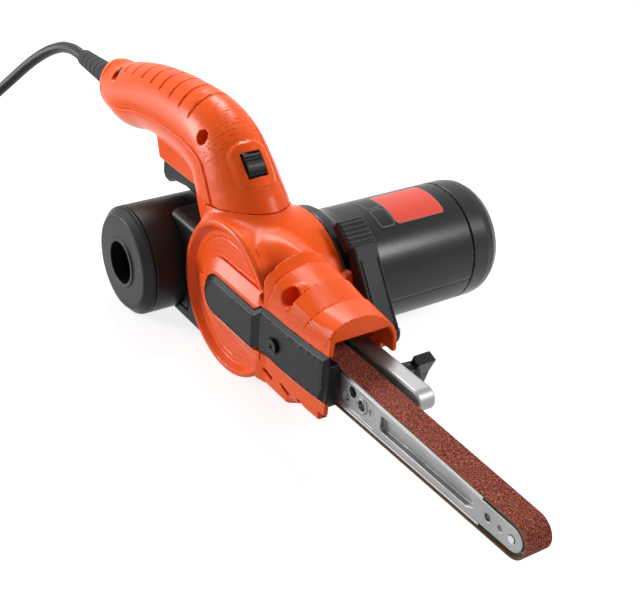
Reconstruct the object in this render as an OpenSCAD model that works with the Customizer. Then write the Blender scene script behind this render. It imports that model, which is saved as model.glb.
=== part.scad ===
// Power file: a hand held belt sander with a narrow belt on a long arm.
// Working axes: X points along the arm, Y to the motor side, Z up.
// The drive roller turns about Y, through the middle of the belt.

/* [Sanding belt] */
// Width of the belt
belt_w = 13; // [11:0.5:15]
// Thickness of the belt, grit included
belt_t = 0.9; // [0.6:0.1:1.2]
// Radius of the drive roller
drive_r = 10.8; // [9.8:0.1:11.8]
// Radius of the nose roller
nose_r = 7; // [6.4:0.1:7.6]
// Distance from the drive axis to the nose axis
axle_gap = 197.5; // [190:0.5:205]

/* [Body] */
// Radius of the round rim on the right side
drum_r = 40; // [39:0.25:43]
// Radius of the body's edge at the motor
drum_left_r = 37.4; // [36.6:0.2:38.6]
// Distance from the belt's middle to the motor edge
drum_left = 34; // [33:0.5:36]
// Wall of the mouldings
wall = 2.4; // [2:0.1:2.8]
// Reach of the nose in front of the drive axis
nose_front = 88; // [86:0.5:92]
// Height of the nose's roof over the drive axis
nose_top = 40; // [38:0.5:42]
// Fall of the roof from its first ridge to its front
nose_fall = 8; // [6:0.5:9]
// Height of the flat ceiling in the nose's mouth
ceiling_z = 24.5; // [23:0.25:25]
// Depth of the nose's floor under the drive axis
floor_z = 20; // [18.5:0.25:22]

/* [Handle] */
// Distance from the drive axis back to the handle's end
handle_reach = 168.5; // [164:0.5:174]
// Height of the handle's middle line at its top
handle_top = 62.5; // [61.5:0.5:64]
// Half the grip's width
grip_half_w = 16.5; // [15.5:0.25:17.5]
// Half the grip's height
grip_half_h = 19.5; // [19:0.25:20]
// Handle's middle plane, to the left of the belt's middle
handle_mid = 11; // [10:0.25:12]

/* [Motor] */
// Outer radius of the motor can
motor_r = 32; // [31.5:0.25:33]
// Length of the can from the body to its end cap
motor_len = 85; // [83:0.5:90]
// Length of the end cap
motor_cap_len = 20.5; // [19:0.5:22]
// Radius of the armature shaft
shaft_r = 4; // [3.5:0.1:4.5]

/* [Dust box] */
// Outer radius of the canister
canister_r = 29.5; // [28:0.25:30]
// Length of the canister without its cap
canister_len = 70; // [66:0.5:74]
// Radius of the port in the cap
port_r = 11.6; // [10.5:0.1:12.5]

/* [Controls] */
// Radius of the speed dial
dial_r = 9; // [8.5:0.25:9.5]
// Width of the speed dial
dial_w = 9; // [8:0.25:10]
// Width of the trigger
trigger_w = 13; // [11:0.5:14]
// Width of the tension lever
lever_w = 14; // [12:0.5:15]

/* [Cord] */
// Diameter of the power cord
cord_d = 7; // [6.6:0.1:7.4]

/* [Hidden] */
$fn = 64;
// Clearances: pieces that slide or swing, pieces on a pin, and pieces that are seated
move_gap = 0.3;
pin_gap = 0.05;
seat_gap = 0.03;
// How far a cut runs past the face that it opens
over = 1;
// Steps of a rounded end and of an ellipse
round_steps = 16;
ellipse_steps = 40;

// Places along Y, from the belt's middle
half_belt = belt_w / 2;
belt_side_gap = 1.8;
side_wall = 2.2;
rim_rise = 2.5;
chamber_y = half_belt + belt_side_gap;
dish_y = chamber_y + side_wall;
rim_y = dish_y + rim_rise;
bracket_gap = 2.5;
bracket_w = 9;
bracket_y = half_belt + bracket_gap;
guide_t = 2.8;
guide_y = bracket_y + bracket_w + move_gap;
nose_wall_y = guide_y + guide_t;
nose_left = nose_wall_y + wall;
nose_side_gap = 0.55;
nose_right = rim_y + nose_side_gap;
motor_seam = drum_left + motor_len;
motor_end = motor_seam + motor_cap_len;

// The floor that the tool stands on, just under the rim
ground_gap = 0.3;
base_z = -drum_r - ground_gap;

// Belt loop, outside the rollers by a small gap
roller_gap = 0.2;
drive_in = drive_r + roller_gap;
nose_in = nose_r + roller_gap;
belt_tilt = asin((drive_in - nose_in) / axle_gap);
loop_steps = 24;
function loop_points(grow) = concat(
    arc(axle_gap, 0, nose_in + grow, 90 - belt_tilt, belt_tilt - 90, loop_steps),
    arc(0, 0, drive_in + grow, belt_tilt - 90, -270 - belt_tilt, loop_steps));
// Half the space inside the belt at a distance x along the arm
function belt_half(x) = drive_in - (drive_in - nose_in) * x / axle_gap;

// Handle line from rear end to neck: shares of reach, top height, half height and half width
handle_shares = [
    [1.000, 0.842, 0.57, 0.50], [0.986, 0.840, 0.67, 0.64], [0.953, 0.834, 0.76, 0.82],
    [0.891, 0.832, 0.79, 0.94], [0.817, 0.853, 0.94, 1.00], [0.695, 0.940, 0.95, 0.97],
    [0.571, 0.984, 1.00, 0.97], [0.445, 0.998, 1.05, 1.00], [0.334, 0.975, 1.14, 1.05],
    [0.251, 0.895, 1.21, 1.10], [0.200, 0.762, 1.30, 1.16], [0.165, 0.631, 1.39, 1.21],
    [0.136, 0.528, 1.45, 1.24]];
line_last = len(handle_shares) - 1;
function row(i) = handle_shares[max(0, min(line_last, i))];
// Smooth curve through the rows, at row number u
function smooth(u) = let (i = min(floor(u), line_last - 1), t = u - i)
    (2 * row(i) + (row(i + 1) - row(i - 1)) * t
    + (2 * row(i - 1) - 5 * row(i) + 4 * row(i + 1) - row(i + 2)) * t * t
    + (3 * row(i) - row(i - 1) - 3 * row(i + 1) + row(i + 2)) * t * t * t) / 2;
function line_at(u) = [-smooth(u)[0] * handle_reach, smooth(u)[1] * handle_top];
line_step_share = 0.05;
function line_way(u) = let (
    a = line_at(max(0, u - line_step_share)), b = line_at(min(line_last, u + line_step_share)))
    (b - a) / norm(b - a);
function line_up(u) = [-line_way(u)[1], line_way(u)[0]];
function half_h(u) = smooth(u)[2] * grip_half_h;
function half_w(u) = smooth(u)[3] * grip_half_w;
// Point of the handle at row u, angle a from the left side upwards, inset from the skin
function skin(u, a, inset) = let (
    c = line_at(u), n = line_up(u), h = (half_h(u) - inset) * sin(a))
    [c[0] + n[0] * h, handle_mid + (half_w(u) - inset) * cos(a), c[1] + n[1] * h];
neck_end = line_at(line_last);
neck_way = line_way(line_last);
neck_angle = atan2(-neck_way[0], -neck_way[1]);

// Dust box, close behind the body and just over the floor
dust_gap = 3;
canister_x = -(drum_r + dust_gap + canister_r);
canister_lift = 0.5;
canister_z = base_z + canister_lift + canister_r;
canister_out = 14;
canister_y = -(rim_y + canister_out);
canister_cap_len = 6;
port_rise = 0.8;

// Overall box without the cord. The part's origin is the middle of its bottom.
x_front = axle_gap + nose_in + belt_t;
x_rear = -handle_reach;
y_right = canister_y - canister_cap_len - port_rise;
y_left = motor_end;
module seat() {
    translate([-(x_front + x_rear) / 2, -(y_left + y_right) / 2, -base_z])
        children();
}

// Solids along an axis
module rod_y(y0, y1, r) {
    translate([0, y0, 0])
        rotate([-90, 0, 0])
            cylinder(h = y1 - y0, r = r);
}
module rod_x(x0, x1, r) {
    translate([x0, 0, 0])
        rotate([0, 90, 0])
            cylinder(h = x1 - x0, r = r);
}
module tube_y(y0, y1, inner, outer) {
    difference() {
        rod_y(y0, y1, outer);
        rod_y(y0 - over, y1 + over, inner);
    }
}
// Outline in X and Z carried along Y
module slab_y(y0, y1) {
    translate([0, y1, 0])
        rotate([90, 0, 0])
            linear_extrude(y1 - y0)
                children();
}
// Outline in Y and Z carried along X
module slab_x(x0, x1) {
    translate([x0, 0, 0])
        rotate([90, 0, 90])
            linear_extrude(x1 - x0)
                children();
}
// Profile of radius and Y turned about Y
module turn_y(points) {
    rotate([-90, 0, 0])
        rotate_extrude()
            polygon(points);
}
module box(from, to) {
    translate(from)
        cube(to - from);
}
function arc(cx, cy, r, a0, a1, n) =
    [for (i = [0:n]) let (a = a0 + (a1 - a0) * i / n) [cx + r * cos(a), cy + r * sin(a)]];
function ellipse(a, b) = [for (i = [0:ellipse_steps - 1])
    let (t = i * 360 / ellipse_steps) [a * cos(t), b * sin(t)]];
function sector(r0, r1, a0, a1) =
    concat(arc(0, 0, r1, a0, a1, round_steps), arc(0, 0, r0, a1, a0, round_steps));

// Triangles of rings of m points each, joined in order, and the fans that close the ends
function skin_faces(rings, m) = [for (k = [0:rings - 2], i = [0:m - 1], s = [0, 1])
    let (j = (i + 1) % m, p = k * m, q = (k + 1) * m)
    s == 0 ? [p + i, q + i, p + j] : [p + j, q + i, q + j]];
function fan(start, m, flip) = [for (i = [1:m - 2])
    flip ? [start, start + i + 1, start + i] : [start, start + i, start + i + 1]];

// Body: a drum for the drive, a ridged nose, and a raised band that takes the belt cover
nose_rear = 34;
ridge_count = 4;
ridge_drop = 0.9;
dish_share = 0.79;
dish_edge_share = 0.83;
rim_chamfer = 2;
nose_height_shares = [0.72, 0.83, 0.95, 1.0, 0.97, 0.92, 0.77, 0.6];
nose_across_shares = [-1, -0.82, -0.35, 0.12, 0.36, 0.6, 0.86, 1];
function nose_outline(top, right, left) = concat(
    [[-right, -floor_z]],
    [for (i = [0:len(nose_across_shares) - 1]) let (s = nose_across_shares[i])
        [s * (s < 0 ? right : left), nose_height_shares[i] * top]],
    [[left, -floor_z]]);
band_low_share = 0.5;
band_high_share = 0.4;
band_rear_share = 0.1;
band_low_rise = 0.5;
band_rise = 2;
module band_outline(half) {
    polygon(concat(arc(-drum_r * band_rear_share, 0, half, 270, 90, round_steps),
        [[nose_rear, half], [nose_rear, -half]]));
}
// Room that the drum takes from the pieces set against it
module drum_room() {
    turn_y([[0, -rim_y - over], [drum_r + seat_gap, -rim_y - over],
        [drum_r + seat_gap, rim_chamfer - rim_y], [drum_left_r + seat_gap, drum_left],
        [0, drum_left]]);
}
stub_len = 24;
stub_lip = 0.8;
// The neck's own outline carried from its end into the drum
module neck_stub(grow, extra) {
    translate([neck_end[0], handle_mid, neck_end[1]])
        rotate([0, neck_angle, 0])
            translate([0, 0, -stub_len])
                linear_extrude(stub_len + extra)
                    polygon(ellipse(half_h(line_last) + grow, half_w(line_last) + grow));
}
lip_front = 84;
lip_cut_z = 13;
slot_count = 4;
slot_w = 6;
slot_pitch = 11;
slot_first = 42;
slot_high_share = 0.62;
slot_low_share = 0.88;
module lip_slots() {
    for (i = [0:slot_count - 1])
        translate([slot_first + i * slot_pitch, 0, 0])
            slab_y(-nose_right - over, wall - nose_right + over)
                polygon([[0, -floor_z * slot_high_share], [slot_w, -floor_z * slot_high_share],
                    [slot_w, -floor_z * slot_low_share]]);
}
duct_r = 12;
duct_y = 8;
duct_z = -6;
nose_screw_x = 53.5;
nose_screw_z = 29.2;
nose_screw_r = 3;
nose_screw_seat = 2;
nose_screw_shank = 1.7;
nose_screw_len = 10;
notch_deep = 9;
notch_low = 10;
notch_high = 11;
bridge_w = 8;
cover_boss_r = 4.5;
cover_boss_gap = 0.8;
guide_rear = 27;
guide_front = 75;
spring_seat_t = 3;
bracket_z = 6.5;
bracket_half = 5.5;
module body_housing() {
    ridge_len = (nose_front - nose_rear) / ridge_count;
    seat() color("orangered")
        difference() {
            union() {
                turn_y([[0, -dish_y], [drum_r * dish_share, -dish_y],
                    [drum_r * dish_edge_share, -rim_y], [drum_r - rim_chamfer, -rim_y],
                    [drum_r, -rim_y + rim_chamfer], [drum_left_r, drum_left], [0, drum_left]]);
                neck_stub(stub_lip, 0);
                slab_y(-rim_y - band_low_rise, -chamber_y)
                    band_outline(drum_r * band_low_share);
                slab_y(-rim_y - band_rise, -chamber_y)
                    band_outline(drum_r * band_high_share);
                slab_x(0, nose_rear + over)
                    polygon(nose_outline(nose_top - ridge_drop, chamber_y, nose_left - ridge_drop));
                for (i = [0:ridge_count - 1])
                    slab_x(nose_rear + i * ridge_len, nose_rear + (i + 1) * ridge_len)
                        polygon(nose_outline(nose_top - i * nose_fall / ridge_count, nose_right,
                            nose_left - i * ridge_drop / ridge_count));
            }
            turn_y([[0, -chamber_y], [drum_left_r - wall, -chamber_y],
                [drum_left_r - wall, drum_left + over], [0, drum_left + over]]);
            neck_stub(-wall, over);
            // Tunnel for the belt, with its flat ceiling, and the end of its floor
            box([0, -chamber_y, wall - floor_z], [nose_front + over, nose_wall_y, ceiling_z]);
            box([nose_rear + wall, wall - nose_right, wall - floor_z],
                [nose_front + over, nose_wall_y, ceiling_z]);
            box([lip_front, -nose_right - over, -floor_z - over],
                [nose_front + over, nose_left + over, -lip_cut_z]);
            // Side opening and the pocket round it, which the belt cover closes
            difference() {
                slab_y(-rim_y - band_rise - over, over - chamber_y)
                    cover_outline(-cover_lap);
                box([cover_screw_x - bridge_w / 2, cover_t - cover_face, -nose_top],
                    [cover_screw_x + bridge_w / 2, over - chamber_y, nose_top]);
            }
            slab_y(-rim_y - band_rise - over, cover_t - cover_face)
                cover_outline(move_gap);
            lip_slots();
            // Way to the dust box, the lever's pin and the screw in the nose
            translate([0, duct_y, duct_z])
                rod_x(-drum_r - over, 0, duct_r);
            translate([lever_x, 0, lever_z])
                rod_y(nose_wall_y - over, nose_left + over, lever_pin_r + seat_gap);
            translate([nose_screw_x, 0, nose_screw_z]) {
                rod_y(-nose_right - over, -nose_screw_seat, nose_screw_r + seat_gap);
                rod_y(-nose_screw_seat - over, nose_screw_len, nose_screw_shank + seat_gap);
            }
            translate([cover_screw_x, 0, cover_screw_z])
                rod_y(-cover_face, -half_belt, cover_screw_r + seat_gap);
            // Room for the knob's hub when the arm is drawn back
            box([nose_front - notch_deep, nose_wall_y - over, -notch_low],
                [nose_front + over, nose_left + over, notch_high]);
        }
    // Boss for the cover's screw, and the guide for the arm's bracket with the spring's seat
    seat() color("orangered")
        union() {
            translate([cover_screw_x, 0, cover_screw_z])
                tube_y(wall - nose_right - seat_gap, -half_belt - cover_boss_gap,
                    cover_screw_r + seat_gap, cover_boss_r);
            box([guide_rear, guide_y, bracket_z - bracket_half],
                [guide_front, nose_wall_y + seat_gap, bracket_z + bracket_half]);
            box([guide_rear, bracket_y, bracket_z - bracket_half],
                [guide_rear + spring_seat_t, guide_y + over, bracket_z + bracket_half]);
        }
}

// Belt cover: a round ended rear part, and behind a ramp a front part that stands lower
cover_rear = -15;
cover_bend = 30;
cover_ramp = 5;
cover_front = 87.5;
cover_half = 10.7;
cover_low = 9;
cover_high = 15;
cover_rise = 2.5;
cover_lap = 2.5;
cover_t = 4;
cover_sink = 1.6;
cover_proud = 1.5;
cover_face = rim_y + band_rise + cover_proud;
module cover_outline(grow) {
    polygon(concat(
        arc(cover_rear + cover_half, 0, cover_half + grow, 270, 90, round_steps),
        [[cover_bend, cover_half + grow], [cover_bend + cover_ramp, cover_high + grow],
        [cover_front + grow, cover_high + cover_rise + grow],
        [cover_front + grow, cover_rise - cover_low - grow],
        [cover_bend + cover_ramp, -cover_low - grow], [cover_bend, -cover_half - grow]]));
}
cover_screw_x = 47.5;
cover_screw_z = 1;
cover_screw_r = 2;
cover_head_r = 3.6;
cover_head_t = 1.6;
cover_screw_len = 6;
cross_half = 0.4;
module belt_cover() {
    seat() color("dimgray")
        difference() {
            slab_y(-cover_face, cover_t - cover_face)
                cover_outline(0);
            translate([0, 0, -nose_top])
                linear_extrude(nose_top + nose_top)
                    polygon([[cover_bend, -cover_face - over], [cover_bend, -cover_face],
                        [cover_bend + cover_ramp, cover_sink - cover_face],
                        [cover_front + over, cover_sink - cover_face],
                        [cover_front + over, -cover_face - over]]);
            translate([cover_screw_x, 0, cover_screw_z])
                rod_y(-cover_face - over, 0, cover_screw_r + seat_gap);
        }
}
module cover_screw() {
    face = cover_sink - cover_face;
    seat() color("black")
        translate([cover_screw_x, 0, cover_screw_z])
            difference() {
                union() {
                    rod_y(face - cover_head_t, face, cover_head_r);
                    rod_y(face - seat_gap, face + cover_screw_len, cover_screw_r);
                }
                for (turn = [45, 135])
                    rotate([0, turn, 0])
                        box([-cover_screw_r, face - cover_head_t - over, -cross_half],
                            [cover_screw_r, face - cover_head_t / 2, cross_half]);
            }
}
nose_screw_head = 2.4;
module nose_screw() {
    seat() color("dimgray")
        translate([nose_screw_x, 0, nose_screw_z])
            union() {
                rod_y(-nose_screw_seat - nose_screw_head, -nose_screw_seat, nose_screw_r);
                rod_y(-nose_screw_seat - seat_gap, nose_screw_len - over, nose_screw_shank);
            }
}

// Handle: two moulded shells, joined on a seam that runs low on the right flank
shell_steps = 24;
seam_low_angle = 190;
seam_high_angle = 60;
seam_gap_angle = 0.3;
right_steps = 11;
left_steps = 17;
function shell_ring(u, a0, a1, n, t0, t1) = concat(
    [for (i = [0:n]) skin(u, a0 + (a1 - a0) * i / n, t0)],
    [for (i = [n:-1:0]) skin(u, a0 + (a1 - a0) * i / n, t1)]);
// The flat ends of a shell, as strips between its outer and its inner arc
function shell_end(start, n, flip) = [for (i = [0:n - 1], s = [0, 1])
    let (a = start + i, b = a + 1, m = start + 2 * n + 1, c = m - i, d = c - 1)
    flip ? (s == 0 ? [a, b, d] : [a, d, c]) : (s == 0 ? [a, d, b] : [a, c, d])];
// Part of the skin between two angles, from inset t0 to inset t1
module shell(a0, a1, n, t0, t1) {
    m = 2 * n + 2;
    rings = [for (k = [0:shell_steps]) shell_ring(k * line_last / shell_steps, a0, a1, n, t0, t1)];
    polyhedron(
        points = [for (ring = rings) for (p = ring) p],
        faces = concat(skin_faces(shell_steps + 1, m), shell_end(0, n, true),
            shell_end(shell_steps * m, n, false)));
}
// Children placed at row u of the handle's line, h over it: x along the line, z away from it
module at_row(u, h) {
    translate([line_at(u)[0] + line_up(u)[0] * h, handle_mid, line_at(u)[1] + line_up(u)[1] * h])
        rotate([0, atan2(-line_way(u)[1], line_way(u)[0]), 0])
            children();
}
handle_screw_shares = [0.729, 0.308];
handle_screw_rises = [11.5, 12];
module handle_screw_places() {
    for (i = [0:len(handle_screw_shares) - 1])
        at_row(handle_screw_shares[i] * line_last, handle_screw_rises[i])
            translate([0, -handle_mid, 0])
                children();
}
handle_head_r = 3;
handle_shank_r = 1.6;
handle_head_y = 1;
handle_head_t = 4;
handle_screw_end = 15;
handle_boss_r = 4.2;
handle_boss_y = 6;
dial_line_share = 0.845;
dial_row = dial_line_share * line_last;
dial_proud = 1.6;
dial_shift = -2;
dial_room = 0.6;
dial_axle_r = 1.5;
dial_h = half_h(dial_row) + dial_proud - dial_r;
// Place on the handle's line that the trigger and its switch are set out from
trigger_line_share = 0.54;
trigger_at = line_at(trigger_line_share * line_last);
web_back = 14;
web_fore = 38;
web_drop = 28.5;
web_sink = 16;
web_slope = 4;
web_rear = trigger_at[0] - web_back;
web_front = trigger_at[0] + web_fore;
web_low = trigger_at[1] - web_drop;
web_high = trigger_at[1] - web_sink;
web_gap = 0.5;
web_t = 2;
plunger_x = trigger_at[0];
plunger_half = 2.5;
plunger_room = 0.3;
pivot_fore = 23.5;
pivot_drop = 25.5;
pivot_x = trigger_at[0] + pivot_fore;
pivot_z = trigger_at[1] - pivot_drop;
trigger_pin_r = 1.5;
web_in = trigger_w / 2 + web_gap;
web_out = web_in + web_t;
trigger_front_share = 0.25;
trigger_top_share = 0.14;
// Room for the trigger between the web's cheeks
module trigger_room() {
    box([pivot_x - trigger_len, handle_mid - web_in, pivot_z - trigger_h - over],
        [pivot_x + trigger_len * trigger_front_share, handle_mid + web_in,
        pivot_z + trigger_h * trigger_top_share]);
}
module handle_shell_right() {
    seat() color("orangered")
        difference() {
            shell(seam_high_angle + seam_gap_angle, seam_low_angle - seam_gap_angle, right_steps,
                0, wall);
            drum_room();
            handle_screw_places()
                rod_y(handle_mid - grip_half_w - grip_half_w, handle_boss_y + handle_head_t,
                    handle_head_r + seat_gap);
            at_row(dial_row, dial_h)
                rod_y(dial_shift - dial_w / 2 - dial_room, dial_shift + dial_w / 2 + dial_room,
                    dial_r + dial_room);
        }
}
module handle_shell_left() {
    seat() color("orangered")
        difference() {
            union() {
                shell(seam_low_angle, seam_high_angle + 360, left_steps, 0, wall);
                for (y = [-web_out, web_in])
                    slab_y(handle_mid + y, handle_mid + y + web_t)
                        polygon([[web_rear, web_high], [web_rear + web_slope, web_low],
                            [web_front, web_low], [web_front, web_high]]);
                box([web_front - web_t, handle_mid - web_out, web_low],
                    [web_front, handle_mid + web_out, web_high]);
                difference() {
                    handle_screw_places()
                        rod_y(handle_boss_y, handle_mid + grip_half_w * boss_reach_share,
                            handle_boss_r);
                    shell(seam_high_angle, seam_low_angle, right_steps, -handle_boss_r,
                        wall + move_gap);
                    shell(seam_low_angle, seam_high_angle + 360, left_steps, -handle_boss_r,
                        over);
                }
            }
            handle_screw_places()
                rod_y(handle_boss_y - over, handle_screw_end + over,
                    handle_shank_r + seat_gap);
            drum_room();
            trigger_room();
            box([plunger_x - plunger_half - plunger_room,
                handle_mid - plunger_half - plunger_room, web_low],
                [plunger_x + plunger_half + plunger_room,
                handle_mid + plunger_half + plunger_room, handle_top - wall]);
            translate([pivot_x, 0, pivot_z])
                rod_y(handle_mid - web_out - over, handle_mid + web_out + over,
                    trigger_pin_r + seat_gap);
        }
}
boss_reach_share = 0.8;
module handle_screws() {
    seat() color("black")
        handle_screw_places()
            difference() {
                union() {
                    rod_y(handle_head_y + over, handle_head_y + handle_head_t, handle_head_r);
                    rod_y(handle_head_y + handle_head_t - seat_gap, handle_screw_end,
                        handle_shank_r);
                }
                rod_y(handle_head_y, handle_head_y + handle_head_t / 2, handle_shank_r);
            }
}

// Belt drive and the arm that carries the belt
module sanding_belt() {
    seat() color("saddlebrown")
        slab_y(-half_belt, half_belt)
            difference() {
                polygon(loop_points(belt_t));
                polygon(loop_points(0));
            }
}
roller_over = 0.8;
module drive_roller() {
    seat() color("silver")
        difference() {
            rod_y(-half_belt - roller_over, half_belt + roller_over, drive_r);
            rod_y(-half_belt - roller_over - over, half_belt + roller_over + over,
                shaft_r + seat_gap);
        }
}
strip_t = 1.2;
strip_gap = 0.4;
strip_rear = 60;
strip_front = 180;
strip_in = 0.5;
arm_rear = 22;
arm_half = 6.2;
fork_half = 4.2;
fork_rear = 187;
clamp_x = 96;
clamp_z = 2.5;
stud_r = 2.5;
arm_window_shares = [0.57, 0.89];
arm_pocket = 2.5;
arm_pocket_share = 0.62;
arm_hole_shares = [0.2, 0.35];
arm_hole_r = 3;
nose_pin_r = 1.6;
function arm_h(x) = belt_half(x) - strip_gap - strip_t;
module arm_side(grow_share, x0, x1) {
    polygon([[x0, -arm_h(x0) * grow_share], [x1, -arm_h(x1) * grow_share],
        [x1, arm_h(x1) * grow_share], [x0, arm_h(x0) * grow_share]]);
}
module file_arm() {
    seat() color("silver")
        difference() {
            union() {
                slab_y(-arm_half, arm_half)
                    arm_side(1, arm_rear, axle_gap);
                translate([axle_gap, 0, 0])
                    rod_y(-arm_half, arm_half, arm_h(axle_gap));
            }
            box([fork_rear, -fork_half, -drive_r], [x_front, fork_half, drive_r]);
            for (y = [-arm_half - arm_pocket, arm_half - arm_pocket])
                slab_y(y, y + arm_pocket + arm_pocket)
                    arm_side(arm_pocket_share, axle_gap * arm_window_shares[0],
                        axle_gap * arm_window_shares[1]);
            for (s = arm_hole_shares)
                translate([axle_gap * s, 0, 0])
                    rod_y(-arm_half - over, arm_half + over, arm_hole_r);
            translate([clamp_x, 0, clamp_z])
                rod_y(-arm_half - over, arm_half + over, stud_r + pin_gap);
            translate([axle_gap, 0, 0])
                rod_y(-arm_half - over, arm_half + over, nose_pin_r + seat_gap);
        }
}
module platen_strips() {
    seat() color("darkgray")
        for (s = [-1, 1])
            slab_y(strip_in - half_belt, half_belt - strip_in)
                polygon([[strip_rear, s * arm_h(strip_rear)], [strip_front, s * arm_h(strip_front)],
                    [strip_front, s * (arm_h(strip_front) + strip_t)],
                    [strip_rear, s * (arm_h(strip_rear) + strip_t)]]);
}
module nose_roller() {
    seat() color("silver")
        translate([axle_gap, 0, 0])
            tube_y(move_gap - fork_half, fork_half - move_gap, nose_pin_r + pin_gap, nose_r);
}
module nose_pin() {
    seat() color("gray")
        translate([axle_gap, 0, 0])
            rod_y(-arm_half - move_gap, arm_half + move_gap, nose_pin_r);
}
bracket_rear = 44;
bracket_front = 117.5;
clamp_boss_r = 4.3;
module arm_bracket() {
    seat() color("silver")
        difference() {
            union() {
                box([bracket_rear, bracket_y, bracket_z - bracket_half],
                    [bracket_front, bracket_y + bracket_w, bracket_z + bracket_half]);
                translate([bracket_front, 0, bracket_z])
                    rod_y(bracket_y, bracket_y + bracket_w, bracket_half);
                translate([clamp_x, 0, clamp_z])
                    rod_y(arm_half, bracket_y + over, clamp_boss_r);
            }
            translate([clamp_x, 0, clamp_z])
                rod_y(arm_half - over, bracket_y + bracket_w + over, stud_r + pin_gap);
            translate([bracket_rear, bracket_y + bracket_w / 2, bracket_z])
                rod_x(-over, spring_deep, spring_out_r + move_gap);
        }
}
knob_hub_r = 5.5;
knob_wing_y = 27;
knob_wing_end = 36;
knob_wing_half = 8.5;
knob_wing_t = 2.2;
knob_angle = 20;
stud_in = 2;
module wing_knob() {
    seat() color("black")
        translate([clamp_x, 0, clamp_z])
            union() {
                rod_y(stud_in, guide_y + over, stud_r);
                rod_y(guide_y, knob_wing_y, knob_hub_r);
                rotate([0, knob_angle, 0])
                    slab_y(knob_wing_y - over, knob_wing_end)
                        polygon(concat(
                            arc(0, knob_wing_half - knob_wing_t, knob_wing_t, 0, 180, round_steps),
                            arc(0, knob_wing_t - knob_wing_half, knob_wing_t, 180, 360,
                                round_steps)));
            }
}
spring_out_r = 4;
spring_in_r = 2.6;
spring_deep = 8;
module tension_spring() {
    seat() color("gray")
        translate([0, bracket_y + bracket_w / 2, bracket_z])
            difference() {
                rod_x(guide_rear + spring_seat_t + seat_gap,
                    bracket_rear + spring_deep - move_gap, spring_out_r);
                rod_x(guide_rear, bracket_rear + spring_deep + over, spring_in_r);
            }
}

// Tension lever on the left of the nose
lever_x = 53;
lever_z = -6;
lever_pin_r = 3;
lever_y = 36;
lever_pad_y = 34;
lever_boss_r = 6.8;
lever_reach = 34;
lever_rise = 47.5;
// Outlines from the pin, in shares of the lever's reach and rise
lever_shares = [[-0.54, 0.82], [-0.93, 1], [-1.01, 0.905], [-0.71, 0.745], [-0.15, -0.07],
    [0.166, 0.08]];
lever_pad_shares = [[-0.54, 0.82], [-0.93, 1], [-1.01, 0.905], [-0.66, 0.72]];
lever_rib_count = 4;
function lever_point(p) = [lever_x + p[0] * lever_reach, lever_z + p[1] * lever_rise];
// Rib i, on the line of the pad's top
function lever_rib(i) = let (a = lever_point(lever_pad_shares[0]),
    b = lever_point(lever_pad_shares[1])) a + (b - a) * (i + 1) / (lever_rib_count + 1);
lever_rib_r = 0.9;
lever_head_r = 4.4;
lever_head_t = 1.6;
module tension_lever() {
    seat() color("dimgray")
        difference() {
            union() {
                slab_y(lever_y, lever_y + lever_w)
                    polygon([for (p = lever_shares) lever_point(p)]);
                slab_y(lever_pad_y, lever_y + lever_w)
                    polygon([for (p = lever_pad_shares) lever_point(p)]);
                translate([lever_x, 0, lever_z])
                    rod_y(nose_left + move_gap, lever_y + lever_w, lever_boss_r);
                for (i = [0:lever_rib_count - 1])
                    translate([lever_rib(i)[0], 0, lever_rib(i)[1]])
                        rod_y(lever_pad_y, lever_y + lever_w, lever_rib_r);
            }
            translate([lever_x, 0, lever_z])
                rod_y(nose_wall_y, lever_y + lever_w + over, lever_pin_r + pin_gap);
        }
}
module lever_pin() {
    seat() color("silver")
        translate([lever_x, 0, lever_z])
            union() {
                rod_y(nose_wall_y, lever_y + lever_w + move_gap + lever_head_t / 2, lever_pin_r);
                rod_y(lever_y + lever_w + move_gap, lever_y + lever_w + move_gap + lever_head_t,
                    lever_head_r);
            }
}

// Motor, across the body on the left
can_step = 0.9;
can_flange_r = drum_left_r - can_step;
can_flange_len = 6;
can_taper = 12;
foot_front = 20;
foot_back = 7;
foot_y = [drum_left + foot_front, motor_seam - foot_back];
foot_x = [-24, -2];
cap_screw_r = 24.5;
cap_screw_angles = [30, 210];
cap_screw_boss = 5.4;
cap_screw_boss_len = 14;
cap_screw_hole = 1.7;
vent_count = 12;
vent_front = 13.5;
vent_len = 6;
vent_y = [drum_left + vent_front, drum_left + vent_front + vent_len];
vent_half = 2;
module cap_screw_places() {
    for (turn = cap_screw_angles)
        rotate([0, turn, 0])
            translate([cap_screw_r, 0, 0])
                children();
}
module motor_housing() {
    seat() color("orangered")
        difference() {
            union() {
                turn_y([[can_flange_r, drum_left], [can_flange_r, drum_left + can_flange_len],
                    [motor_r, drum_left + can_taper], [motor_r, motor_seam],
                    [motor_r - wall, motor_seam], [motor_r - wall, drum_left + can_taper],
                    [can_flange_r - wall, drum_left + can_flange_len - over],
                    [can_flange_r - wall, drum_left]]);
                cap_screw_places()
                    rod_y(motor_seam - cap_screw_boss_len, motor_seam, cap_screw_boss);
                difference() {
                    box([foot_x[0], foot_y[0], base_z], [foot_x[1], foot_y[1], 0]);
                    rod_y(foot_y[0] - over, foot_y[1] + over, motor_r - wall / 2);
                }
            }
            cap_screw_places()
                rod_y(motor_seam - cap_screw_boss_len + over, motor_seam + over, cap_screw_hole);
            for (i = [0:vent_count - 1])
                rotate([0, i * 360 / vent_count, 0])
                    box([motor_r - wall - over, vent_y[0], -vent_half],
                        [motor_r + over, vent_y[1], vent_half]);
        }
}
cap_side_share = 0.53;
cap_bevel_share = 0.84;
cap_bevel_in = 3;
cap_face_in = 8;
cap_side = motor_cap_len * cap_side_share;
rear_boss_in = 9.5;
rear_boss_out = 12.5;
rear_bearing_in = 5;
rear_bearing_y = motor_seam + rear_bearing_in;
rear_bearing_w = 6;
cap_floor = 3;
cap_vents = 6;
cap_vent_in = 14;
cap_vent_out = 22;
cap_vent_angle = 18;
cap_head_r = 3.2;
cap_head_t = 3;
cap_screw_seat = 7;
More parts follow.
